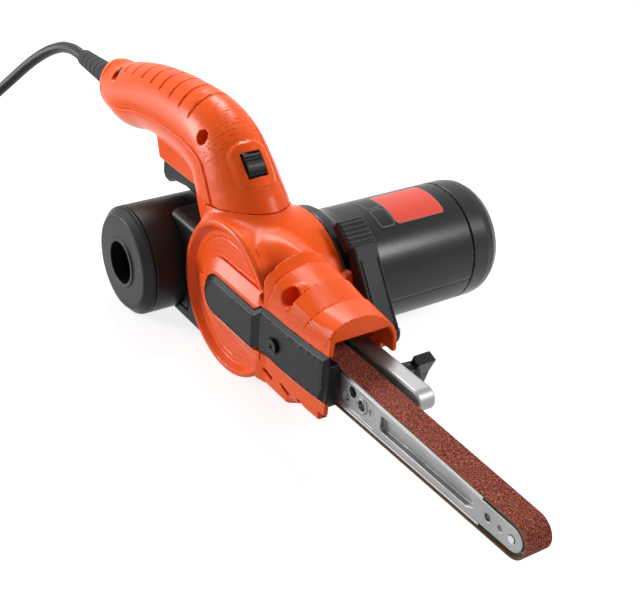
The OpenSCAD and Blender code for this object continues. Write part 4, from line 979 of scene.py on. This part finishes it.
@dataclass
class Grip:
    """Grip of two shells that meet on a low seam, with a web over the trigger, a window for the dial and screw holes.

    Its middle line runs through rows of shares: of the reach, the top height, the half height and the half width.
    On each span the line is the cubic that passes through both rows with slopes from their neighbours.
    """

    reach: float = 168.5
    top: float = 62.5
    half_h: float = 19.5
    half_w: float = 16.5
    wall: float = 2.4
    per_span: int = 10
    shares: tuple = (
        (1.000, 0.842, 0.57, 0.50), (0.986, 0.840, 0.67, 0.64), (0.953, 0.834, 0.76, 0.82), (0.891, 0.832, 0.79, 0.94),
        (0.817, 0.853, 0.94, 1.00), (0.695, 0.940, 0.95, 0.97), (0.571, 0.984, 1.00, 0.97), (0.445, 0.998, 1.05, 1.00),
        (0.334, 0.975, 1.14, 1.05), (0.251, 0.895, 1.21, 1.10), (0.200, 0.762, 1.30, 1.16), (0.165, 0.631, 1.39, 1.21),
        (0.136, 0.528, 1.45, 1.24),
    )
    seam_rows: tuple = (4.45, 6.05, 7.35, 8.7, 9.35)
    seam_lows: tuple = (195.0, 190.0, 185.0, 175.0, 170.0)
    seam_high: float = 60.0
    per_degree: float = 0.31
    dial_row: float = 10.14
    dial_at: tuple = (-18.477, 9.0, 57.781)
    screws: tuple = ((-40.52, 67.97), (-143.65, 64.47))
    grooves: tuple = (-132.0, -121.5, -111.0, -100.5, -90.0, -79.0, -68.0, -58.0)
    ring_at: float = -158.0
    pulls: tuple = (0.0, 3.0, 6.0, 8.5)
    plunger: tuple = ((-88.8, 8.1, 30.0), (-83.0, 13.9, 60.0))
    web_outline: tuple = ((-101.7, 50.0), (-96.7, 33.5), (-49.2, 33.5), (-44.7, 37.4), (-41.2, 50.0))
    below_web: tuple = ((-110.0, 4.0, 20.0), (-51.2, 18.0, 40.0))

    def __post_init__(self) -> None:
        """Samples the middle line: places, steps, ways and halves."""
        rows = np.array(self.shares)
        last = len(rows) - 1
        u = np.linspace(0, last, self.per_span * last + 1)
        i = np.minimum(np.floor(u).astype(int), last - 1)
        t = (u - i)[:, None]
        a, b, c, d = (rows[np.clip(i + k, 0, last)] for k in (-1, 0, 1, 2))
        cubic = (2 * b + (c - a) * t + (2 * a - 5 * b + 4 * c - d) * t**2 + (3 * b - a - 3 * c + d) * t**3) / 2
        self.mid = np.stack([-cubic[:, 0] * self.reach, cubic[:, 1] * self.top], 1)
        way = np.gradient(self.mid, axis=0)
        self.step = np.linalg.norm(way, axis=1)
        self.way = way / self.step[:, None]
        self.halves = np.stack([cubic[:, 2] * self.half_h, cubic[:, 3] * self.half_w], 1)
        self.u = u

    def nearest(self, x: Array, z: Array) -> tuple:
        """Row number, place, up, half height and half width of the line at the place nearest to each point.

        The nearest sample is moved along its own way by the point's distance past it.
        """
        shape = np.broadcast(x, z).shape
        px, pz = np.broadcast_to(x, shape).ravel(), np.broadcast_to(z, shape).ravel()
        best, least = np.zeros(px.shape, int), np.full(px.shape, FAR)
        for k, (mx, mz) in enumerate(self.mid):
            far = (px - mx) ** 2 + (pz - mz) ** 2
            closer = far < least
            best[closer], least[closer] = k, far[closer]
        past = (px - self.mid[best, 0]) * self.way[best, 0] + (pz - self.mid[best, 1]) * self.way[best, 1]
        u = np.clip(self.u[best] + past / self.step[best] * (self.u[1] - self.u[0]), 0, self.u[-1])
        columns = (*self.mid.T, -self.way[:, 1], self.way[:, 0], *self.halves.T)
        found = [np.interp(u, self.u, column).reshape(shape) for column in columns]
        return (u.reshape(shape), *found)

    def by_dial(self, x: Array, y: Array, z: Array) -> tuple:
        """Place about the dial: along the grip, out of it, and to either side."""
        wx, wz = self.way[round(self.dial_row * self.per_span)]
        dx, dz = x - self.dial_at[0], z - self.dial_at[2]
        return dx * wx + dz * wz, -dx * wz + dz * wx, np.abs(y - self.dial_at[1])

    def field(self, side: Side, x: Array, y: Array, z: Array) -> Array:
        """One shell: an ellipse about the line, hollowed, cut at both ends and on the seam, with its details."""
        u, mx, mz, ux, uz, tall, wide = self.nearest(x, z)
        up = (x - mx) * ux + (z - mz) * uz
        across = y - HANDLE_MID
        skin = ellipse_field(up, across, tall, wide)
        angle = np.degrees(np.arctan2(up / tall, across / wide))
        low = np.interp(u, self.seam_rows, self.seam_lows)
        turn = np.abs((angle - (low + self.seam_high) / 2 + 180) % 360 - 180)
        seam = (turn - (low - self.seam_high) / 2) * self.per_degree
        skin = skin + 0.9 * ridge(seam, 0.9) * fraction((u - 3.6) / 0.4)
        for number, at in enumerate(self.grooves):
            reach = 30.0 + 2.6 * number - np.abs(angle - 102.0)
            skin = skin + ridge(mx - at, 0.8) * fraction(reach / 6.0)
        skin = skin + 0.8 * ridge(x - self.ring_at + 0.12 * up, 0.8)
        along, over, aside = self.by_dial(x, y, z)
        pad = np.hypot(np.maximum(np.abs(along) - 5.5, 0), np.maximum(aside - 3.0, 0)) - 6.5
        skin = skin - 0.9 * fraction(0.5 - pad / 1.6) * (over > 0)
        end = -self.reach - x
        shell = smooth_cut(meet(skin, end), meet(skin, end) + self.wall, 0.3)
        shell = meet(shell, neck_depth(x, z) + 0.2)
        shell = smooth_cut(shell, np.hypot(across, z - CORD_Z) - 6.0 + np.maximum(x + 165.0, 0), 0.3)
        shell = smooth_cut(shell, slab(meet(np.abs(along) - 6.6, aside - 5.1), over, 0.0, 30.0), 0.5)
        right = side is Side.RIGHT
        near, far, bore, deep = (-30.0, 5.4, 3.6, 10.0) if right else (6.0, 24.0, 1.65, 16.0)
        for at in self.screws:
            out = np.hypot(x - at[0], z - at[1])
            shell = join(shell, meet(out - 4.6, skin, near - y, y - far))
            shell = smooth_cut(shell, meet(out - bore, y - deep, -40.0 - y), 0.4)
        part = meet(shell, side.value * seam + 0.06)
        if right:
            return part
        part = smooth_min(part, self.web(x, y, z, skin), 1.2)
        pivot = meet(np.hypot(x - TRIGGER_PIN[0], z - TRIGGER_PIN[1]) - 1.55, 2.6 - y)
        sweep = join(*(Controls().outline(pull)(x, z) for pull in self.pulls))
        room = meet(sweep - 0.5, np.abs(across) - 6.9)
        return meet(part, -join(pivot, block(x, y, z, *self.plunger), room))

    def web(self, x: Array, y: Array, z: Array, skin: Array) -> Array:
        """Two cheeks and a front wall that hang from the grip over the trigger, cut where they meet the shell."""
        flat = polygon(self.web_outline, 1.5)(x, z)
        outer = slab(flat, y - HANDLE_MID, -9.2, 9.2, 1.2)
        hollow = slab(np.maximum(flat + 2.2, -9.0), y - HANDLE_MID, -7.0, 7.0)
        return meet(smooth_cut(outer, join(hollow, block(x, y, z, *self.below_web)), 0.3), -(skin + 1.2))

    def build(self) -> None:
        """Makes both shells."""
        room = ((-170.0, -11.0, 10.0), (6.0, 33.0, 87.0))
        for side in Side:
            end = side.name.lower()

            def shell(x: Array, y: Array, z: Array, side: Side = side) -> Array:
                """The field of this side's shell."""
                return self.field(side, x, y, z)

            moulded(f"grip_{end}", shell, room, 0.66, ORANGE, TOOL, f"handle_shell_{end}")


@dataclass
class Motor:
    """Black motor can with a flange at the body, its end cap, and a bare panel on its top."""

    radius: float = 32.0
    bore: float = 29.55
    flange: float = 36.4
    start: float = 34.3
    seam: float = 119.0
    end: float = 139.5
    wall: float = 2.4
    foot: tuple = ((-24.0, 54.0, -40.3), (-2.0, 112.0, 0.0))
    screw_turns: tuple = (30.0, 210.0)
    screw_ring: float = 24.5
    panel_low: float = 66.0
    panel_high: float = 110.0
    panel_left: float = -20.0
    panel_right: float = 33.0
    panel_grid: tuple = (100, 140)

    def can(self, x: Array, y: Array, z: Array) -> Array:
        """The can: a turned wall with a flange and a shoulder, a foot under it, and vents on its hidden side."""
        top, inside = self.seam - 0.3, self.flange - self.wall
        outer = [(0.0, self.start), (self.flange - 1.0, self.start), (self.flange, self.start + 1.0),
                 (self.flange, 40.6), (34.6, 42.4), (33.0, 46.0), (self.radius, 50.0), (self.radius, top), (0.0, top)]
        inner = [(0.0, 30.0), (inside, 30.0), (inside, 40.0), (30.4, 46.0), (self.bore, 50.0),
                 (self.bore, self.seam + 5.0), (0.0, self.seam + 5.0)]
        line = ridge(z + 7.0, 0.9) * (x > 0) * (y > 52.0)
        skin = turned(outer, round_by=0.4)(x, y, z) + 0.35 * line
        solid = smooth_min(skin, block(x, y, z, *self.foot, 1.5), 2.0)
        solid = meet(solid, -turned(inner)(x, y, z))
        angle = np.degrees(np.arctan2(z, -x))
        slot = np.abs((angle + 15) % 30 - 15) * np.pi / 180 * self.radius - 2.0
        vent = meet(slot, np.abs(y - 50.6) - 3.0, x + 4.0, 26.0 - np.hypot(x, z))
        return smooth_cut(solid, vent, 0.4)

    def cap(self, x: Array, y: Array, z: Array) -> Array:
        """The end cap: a bowl with a rounded edge, a bearing boss, slots round the boss and two screw holes."""
        low = self.seam + 0.3
        outer = [(0.0, low), (self.radius, low), (self.radius, 128.6), (31.3, 132.8), (29.0, 136.6), (25.0, self.end),
                 (0.0, self.end)]
        inner = [(0.0, 110.0), (self.bore, 110.0), (self.bore, 127.6), (21.6, 136.5), (0.0, 136.5)]
        far = np.hypot(x, z)
        whole = turned(outer, round_by=0.6)(x, y, z)
        boss = meet(far - 12.5, 124.0 - y, y - 138.5)
        solid = join(meet(whole, -turned(inner)(x, y, z)), boss)
        solid = meet(solid, -meet(far - 9.55, y - 130.0))
        angle = np.degrees(np.arctan2(z, x))
        cut = meet((np.abs((angle + 30) % 60 - 30) - 18.0) * 0.31, np.abs(far - 18.0) - 4.0, 132.5 - y)
        for turn in np.radians(self.screw_turns):
            out = np.hypot(x - self.screw_ring * np.cos(turn), z + self.screw_ring * np.sin(turn))
            solid = join(solid, meet(out - 5.0, low - y, whole))
            cut = join(cut, meet(out - 3.25, 126.0 - y), meet(out - 1.7, 110.0 - y))
        return smooth_cut(solid, cut, 0.4)

    def panel(self) -> None:
        """A thin bare panel bent over the can's top: a red field and two black ones, each with a pale line round it."""
        columns, rows = self.panel_grid
        r = self.radius + 0.06
        along, turn = np.meshgrid(
            np.linspace(self.panel_low, self.panel_high, rows),
            np.radians(np.linspace(self.panel_left, self.panel_right, columns)),
            indexing="ij",
        )
        points = np.stack([r * np.sin(turn), along, r * np.cos(turn)], -1).reshape(-1, 3)
        faces = grid_faces(rows, columns, closed=False)
        spot = np.stack([turn * r, along], -1).reshape(-1, 2)[faces].mean(1)

        def framed(low: tuple, high: tuple, corner: float) -> Array:
            """Distance from a rectangle with round corners."""
            d = np.abs(spot - (np.array(low) + high) / 2) - (np.array(high) - low) / 2 + corner
            return np.hypot(*np.maximum(d, 0).T) + np.minimum(d.max(1), 0) - corner

        left, right = np.radians([self.panel_left, self.panel_right]) * r
        low, high = self.panel_low, self.panel_high
        keep = framed((left, low), (right, high), 4.0) < 0
        red = framed((left + 0.8, low + 10.6), (right - 0.8, high - 1.0), 3.4)
        mid, shelf = (left + right) / 2, low + 11.0
        black = framed((left + 1.0, low + 1.0), (mid, shelf), 2.4)
        black = join(black, framed((mid, low + 1.0), (right - 1.0, shelf), 2.4))
        kind = np.where(np.abs(join(red, black) + 0.8) < 0.2, 2, np.where(red < -0.8, 1, 0))
        finishes = [MOTOR, PANEL, LINE]
        add_piece("motor_panel", points, faces[keep][:, ::-1], finishes, TOOL, of_face=kind[keep])

    def build(self) -> None:
        """Makes the can, the cap and the panel."""
        can_room, cap_room = ((-37.5, 33.5, -41.0), (37.5, 120.0, 37.5)), ((-33.0, 118.0, -33.0), (33.0, 140.5, 33.0))
        moulded("motor_can", self.can, can_room, 0.85, MOTOR, TOOL, "motor_housing")
        moulded("motor_cap", self.cap, cap_room, 0.7, MOTOR_CAP, TOOL, "motor_end_cap")
        self.panel()


@dataclass
class DustBox:
    """Dust canister with its cap and port, and the adapter that joins it to the drum."""

    at: tuple = (-72.5, -10.3)
    radius: float = 29.5
    front: float = -27.0
    back: float = 43.0
    wall: float = 2.4
    port: float = 11.6
    margin: float = 30.5
    side_outline: tuple = ((-9.6, -38.0), (-9.6, 21.0), (30.0, 21.0), (30.0, -38.0))
    panel_outline: tuple = ((-52.0, -30.0), (-52.0, 8.0), (-44.0, 8.0), (-40.0, -12.0), (-42.0, -30.0))

    def canister(self, x: Array, y: Array, z: Array) -> Array:
        """The canister: a cup with a rounded back edge and a hole where the duct comes in."""
        r, inside, back, deep = self.radius, self.radius - self.wall, self.back, self.back - self.wall
        outer = [(0.0, self.front), (r, self.front), (r, back - 4.0), (r - 4.0, back), (0.0, back)]
        inner = [(0.0, -60.0), (inside, -60.0), (inside, back - 4.4), (r - 5.0, deep), (0.0, deep)]
        solid = meet(turned(outer, self.at, 0.5)(x, y, z), -turned(inner, self.at)(x, y, z))
        return smooth_cut(solid, meet(duct(y, z), self.at[0] - x), 0.3)

    def cap(self, x: Array, y: Array, z: Array) -> Array:
        """The cap: a disc with a wide slanted rim, a flat face and a raised ring round its port."""
        face = self.front - 6.0
        shape = [(self.port, face - 0.8), (13.6, face - 0.8), (14.2, face), (24.3, face), (25.5, face + 0.3),
                 (29.0, -29.4), (29.5, -28.2), (29.5, -27.3), (23.2, -27.3), (23.2, -26.2), (self.port, -26.2)]
        return turned(shape, self.at, 0.35)(x, y, z)

    def adapter(self, x: Array, y: Array, z: Array) -> Array:
        """The adapter: a rounded box cut to the drum, the canister, the neck and the duct, with a line on its side."""
        box = slab(polygon(self.side_outline, 4.0)(y, z), x, -62.0, -26.0, 1.5)
        line = meet(np.abs(polygon(self.panel_outline, 2.0)(x, z)) - 0.4, y + 9.0)
        drum = meet(np.hypot(x, z) - np.clip(40.05 - (y + 10.0) * 0.059, 37.4, 40.05), y - 34.0)
        neck = Body().collar(x, y, z, 1.3, -40.0, 30.0)
        cup = np.hypot(x - self.at[0], z - self.at[1]) - self.radius - 0.3
        return meet(smooth_cut(box, join(drum, neck, cup, duct(y, z)), 0.4), -line)

    def build(self) -> None:
        """Makes the three pieces."""
        (x, z), m = self.at, self.margin
        low = (x - m, self.front - 8.0, z - m)
        moulded("canister", self.canister, (low, (x + m, self.back + 1.0, z + m)), 0.8, BLACK, "canister",
                "dust_canister")
        moulded("canister_lid", self.cap, (low, (x + m, -25.5, z + m)), 0.55, BLACK, "cap", "canister_cap")
        room = ((-63.0, -11.0, -39.0), (-25.0, 31.0, 22.0))
        moulded("adapter", self.adapter, room, 0.7, BLACK, TOOL, "dust_adapter")


@dataclass
class BeltDrive:
    """Sanding belt, the cast arm inside it, its bracket, the wing knob and the tension lever.

    Each hole of the arm has a place in X and Z, a radius and a depth.
    """

    gap: float = 197.5
    drive_in: float = 11.0
    nose_in: float = 7.2
    thick: float = 0.9
    half: float = 6.5
    arm_half: float = 6.2
    fork: tuple = ((187.0, -4.2, -12.0), (210.0, 4.2, 12.0))
    recess: tuple = ((117.0, -3.6), (117.0, 3.8), (172.0, 2.9), (178.0, 0.0), (172.0, -2.9))
    holes: tuple = (
        (39.5, 0.0, 3.0, 9.0), (69.1, 0.0, 3.0, 9.0), (92.0, -2.0, 1.7, 1.6), (103.5, 0.0, 2.3, 2.6),
        (110.0, 0.0, 1.5, 1.2), (184.0, 0.0, 1.6, 1.8), (191.0, 0.0, 1.2, 1.0),
    )
    ring_at: float = 103.5
    bar_end: tuple = (117.5, 6.5)
    bar_half: float = 5.5
    bar_mid: float = 13.5
    thumb: tuple = (34.6, 33.0)
    thumb_end: tuple = (21.4, 41.5)
    thumb_low: tuple = (18.7, 37.0)

    def loop(self, grow: float, steps: int = 40) -> Array:
        """Closed line of the belt in X and Z: two arcs, and the two tangents between them with points along them."""
        tilt = np.arcsin((self.drive_in - self.nose_in) / self.gap)
        a = np.linspace(np.pi / 2 - tilt, tilt - np.pi / 2, steps)
        b = np.linspace(tilt - np.pi / 2, -1.5 * np.pi - tilt, steps)
        nose = np.stack([self.gap + (self.nose_in + grow) * np.cos(a), (self.nose_in + grow) * np.sin(a)], 1)
        drive = np.stack([(self.drive_in + grow) * np.cos(b), (self.drive_in + grow) * np.sin(b)], 1)
        t = np.linspace(0, 1, 26)[1:-1, None]
        under, over = nose[-1] + (drive[0] - nose[-1]) * t, drive[-1] + (nose[0] - drive[-1]) * t
        return np.concatenate([nose, under, drive, over])

    def belt(self) -> None:
        """The belt: grit outside, cloth inside and two cut edges, each a strip along the loop."""
        outer, inner = self.loop(self.thick), self.loop(0.0)
        count = len(outer)
        corners = ((outer, -self.half), (outer, self.half), (inner, self.half), (inner, -self.half))
        points, faces, kinds = [], [], []
        for k in range(4):
            for line, y in (corners[k], corners[(k + 1) % 4]):
                points.append(np.stack([line[:, 0], np.full(count, y), line[:, 1]], 1))
            strip = grid_faces(2, count)
            faces.append(strip[:, ::-1] + 2 * k * count)
            kinds.append(np.full(len(strip), 0 if k == 0 else 1))
        points, faces, kinds = (np.concatenate(rows) for rows in (points, faces, kinds))
        add_piece("belt", points, faces, [GRIT, CLOTH], TOOL, ("sanding_belt",), of_face=kinds)

    def tall(self, x: Array) -> Array:
        """Half the height of the arm at X."""
        return self.drive_in - (self.drive_in - self.nose_in) * x / self.gap - 1.6

    def arm(self, x: Array, y: Array, z: Array) -> Array:
        """The arm: a long tapered casting with a fork, round holes, a shallow pocket and a long recess."""
        bar = meet(np.abs(z) - self.tall(np.minimum(x, self.gap)), 22.0 - x)
        tip = np.hypot(x - self.gap, z)
        solid = slab(np.where(x > self.gap, tip - self.tall(self.gap), bar), y, -self.arm_half, self.arm_half, 0.6)
        out = np.abs(y)
        cuts = [
            block(x, y, z, *self.fork, 0.8),
            meet(polygon(self.recess, 1.5)(x, z), 3.6 - out),
            meet(np.abs(z) - self.tall(x) + 1.5, 80.0 - x, x - 112.5, 5.6 - out),
            np.hypot(x - STUD[0], z - STUD[1]) - 2.55,
            tip - 1.63,
        ]
        for at, height, radius, deep in self.holes:
            cuts.append(meet(np.hypot(x - at, z - height) - radius, self.arm_half - deep - out))
        ring = np.abs(np.hypot(x - self.ring_at, z) - 3.1) - 0.7
        return join(smooth_cut(solid, join(*cuts), 0.5), meet(ring, out - self.arm_half, 5.0 - out))

    def bracket(self, x: Array, y: Array, z: Array) -> Array:
        """The bracket: a square bar with a round front end, a boss towards the arm, and bores for stud and spring."""
        end, mid = self.bar_end
        straight = meet(np.abs(z - mid) - self.bar_half, 44.0 - x)
        bar = slab(np.where(x > end, np.hypot(x - end, z - mid) - self.bar_half, straight), y, 9.0, 18.0, 1.1)
        solid = join(bar, rod(x, y, z, STUD, 4.3, 6.25, 10.0, 0.2))
        spring = meet(np.hypot(y - self.bar_mid, z - mid) - 4.3, x - 52.0)
        return smooth_cut(solid, join(rod(x, y, z, STUD, 2.55, 0.0, 25.0), spring), 0.3)

    def knob(self, x: Array, y: Array, z: Array) -> Array:
        """The knob: a stud, a hub and a wing with a waist, turned a little out of the upright."""
        c, s = np.cos(np.radians(20.0)), np.sin(np.radians(20.0))
        dx, dz = x - STUD[0], z - STUD[1]
        a, b = np.abs(dx * c - dz * s), np.abs(dx * s + dz * c)
        out = np.hypot(dx, dz)
        stud = slab(out - 2.5, y, 2.0, 20.0, 0.3)
        hub = slab(out - (5.5 - 0.06 * np.maximum(y - 19.0, 0)), y, 18.3, 28.5, 0.7)
        wing = slab(meet(b - 8.6, a - (2.2 + 0.25 * b / 4)), y, 25.5, 36.0, 1.3)
        return join(stud, smooth_min(hub, wing, 1.5))

    def lever(self, x: Array, y: Array, z: Array) -> Array:
        """The lever: a slanted strap down to its boss, a thumb pad with ribs on its top end, and the pin's hole."""
        top = [self.thumb, self.thumb_end, self.thumb_low]
        strap = polygon([*top, (28.9, 29.4), (47.9, -9.3), (58.6, -2.2)], 1.0)(x, z)
        pad = slab(polygon([*top, (30.6, 28.2)], 0.8)(x, z), y, 34.3, 50.2, 1.0)
        solid = smooth_min(slab(strap, y, 36.2, 50.0, 1.3), pad, 0.8)
        solid = join(solid, rod(x, y, z, LEVER_PIN, 6.8, 23.9, 50.0, 0.6))
        way = np.subtract(self.thumb_end, self.thumb)
        way = way / np.hypot(*way)
        dx, dz = x - self.thumb[0], z - self.thumb[1]
        along, over = dx * way[0] + dz * way[1], -dx * way[1] + dz * way[0]
        wave = np.abs((along / 2.5) % 1.0 - 0.5) * 2
        ribs = meet(np.abs(along - 7.6) - 7.2, np.abs(over) - 1.1 + 0.9 * (1 - wave))
        solid = join(solid, slab(ribs, y, 35.2, 49.4, 0.3))
        groove = meet(np.abs(np.abs(y - 43.1) - 4.9) - 0.35, np.abs(strap) - 0.5, z - 27.0)
        solid = smooth_cut(solid, groove, 0.3)
        return smooth_cut(solid, rod(x, y, z, LEVER_PIN, 3.06, 20.0, 60.0), 0.2)

    def build(self) -> None:
        """Makes the pieces of the drive that show."""
        self.belt()
        moulded("arm", self.arm, ((21.0, -7.0, -10.5), (205.0, 7.0, 10.5)), 0.5, CAST, "arm", "file_arm")
        room = ((43.0, 5.5, -2.0), (124.0, 19.0, 13.0))
        moulded("bracket", self.bracket, room, 0.5, BRIGHT, "arm", "arm_bracket")
        moulded("knob", self.knob, ((84.0, 1.5, -10.0), (108.0, 37.0, 15.0)), 0.45, BLACK, "knob", "wing_knob")
        room = ((15.5, 23.0, -14.0), (62.0, 51.5, 45.0))
        moulded("lever", self.lever, room, 0.55, LEVER, "lever", "tension_lever")


@dataclass
class Controls:
    """Trigger, strain relief and plug."""

    trigger_len: float = 46.0
    trigger_h: float = 16.0
    trigger_shares: tuple = (
        (-0.76, -0.03), (-0.77, -0.78), (-0.71, -0.98), (-0.62, -1.01), (-0.47, -0.81), (-0.21, -0.69), (0.04, -0.72),
        (0.24, -0.53), (0.23, -0.34), (0.05, 0.12), (-0.05, 0.12), (-0.21, 0.04),
    )
    trigger_half: float = 6.5
    relief_back: float = -168.8
    relief_len: float = 40.7
    plug_at: tuple = (-222.587, -151.912, -33.275)
    plug_half: tuple = ((0.0, 4.6), (12.0, 5.5), (18.0, 15.0), (24.0, 17.5), (36.0, 17.5))

    def outline(self, pull: float) -> Flat:
        """The trigger's hooked outline in X and Z, turned about its pin by degrees of pull."""
        a, b = (np.array(self.trigger_shares) * [self.trigger_len, self.trigger_h]).T
        c, s = np.cos(np.radians(pull)), np.sin(np.radians(pull))
        return polygon(np.stack([c * a + s * b, c * b - s * a], 1) + TRIGGER_PIN, 1.2)

    def trigger(self, x: Array, y: Array, z: Array) -> Array:
        """The trigger: its outline with well rounded edges, less the pin's hole."""
        solid = slab(self.outline(0.0)(x, z), y, HANDLE_MID - self.trigger_half, HANDLE_MID + self.trigger_half, 2.2)
        return meet(solid, 1.55 - np.hypot(x - TRIGGER_PIN[0], z - TRIGGER_PIN[1]))

    def relief(self, x: Array, y: Array, z: Array) -> Array:
        """The strain relief: a cone with ribs that thins to the cord, with a neck and a flange inside the grip."""
        out = np.hypot(y - HANDLE_MID, z - CORD_Z)
        back = self.relief_back - x
        thin = 7.0 - 2.0 * fraction(back / self.relief_len)
        ribs = 0.5 * fraction(1 - np.abs((back / 6.0) % 1.0 - 0.5) * 6.0) * ((back > 8.0) & (back < 38.0))
        cone = meet(out - thin + ribs, -back, back - self.relief_len)
        collar = meet(out - 7.6, -back, back - 4.0)
        neck = meet(out - 5.5, back - 1.0, -4.6 - back)
        flange = meet(out - 8.0, back + 4.5, -9.0 - back)
        return smooth_min(join(cone, collar), join(neck, flange), 0.3)

    def plug(self, x: Array, y: Array, z: Array) -> Array:
        """The plug: a flat grip that widens to its face, with ribs at its cord end and two holes for the pins."""
        px, py, pz = (c - a for c, a in zip((x, y, z), self.plug_at))
        other = [(a, -b) for a, b in self.plug_half[::-1]]
        flat = polygon([*self.plug_half, *other], 1.0)(px, py)
        rib = 0.5 * fraction(1 - np.abs((px / 3.0) % 1.0 - 0.5) * 4) * ((px > 3) & (px < 13))
        hole = meet(np.hypot(np.abs(py) - 9.5, pz) - 2.05, 30.0 - px)
        return meet(slab(flat + rib, pz, -6.7, 6.7, 1.5), -hole)

    def build(self) -> tuple:
        """Makes the pieces.

        Returns:
            The strain relief and the plug.
        """
        room = ((-99.2, 3.5, 19.4), (-50.2, 18.5, 39.4))
        moulded("trigger_lever", self.trigger, room, 0.5, BLACK, "trigger_body", "trigger")
        room = ((-210.5, 2.0, 42.6), (-158.5, 20.0, 60.6))
        relief = moulded("relief", self.relief, room, 0.5, RUBBER, TOOL, "strain_relief")
        room = (np.array(self.plug_at) - (1, 19, 8), np.array(self.plug_at) + (38, 19, 8))
        return relief, moulded("plug", self.plug, room, 0.7, RUBBER, TOOL, "plug_body")


def main() -> None:
    """Builds the studio and the whole tool."""
    logging.basicConfig(level=logging.INFO, format="%(message)s")
    bpy.context.scene.view_settings.view_transform = "Standard"
    for make_group in (moulded_group, grit_group, lines_group):
        make_group()
    studio = Studio()
    studio.place_camera()
    relief, plug = Controls().build()
    PowerCord().build(relief, plug)
    studio.set_world()
    studio.lay_floor()
    studio.light()
    for finish in CadFinish:
        finish.dress()
    for assembly in (Body(), Cover(), Grip(), Motor(), DustBox(), BeltDrive()):
        log.info("building %s", type(assembly).__name__)
        assembly.build()


if __name__ == "__main__":
    main()
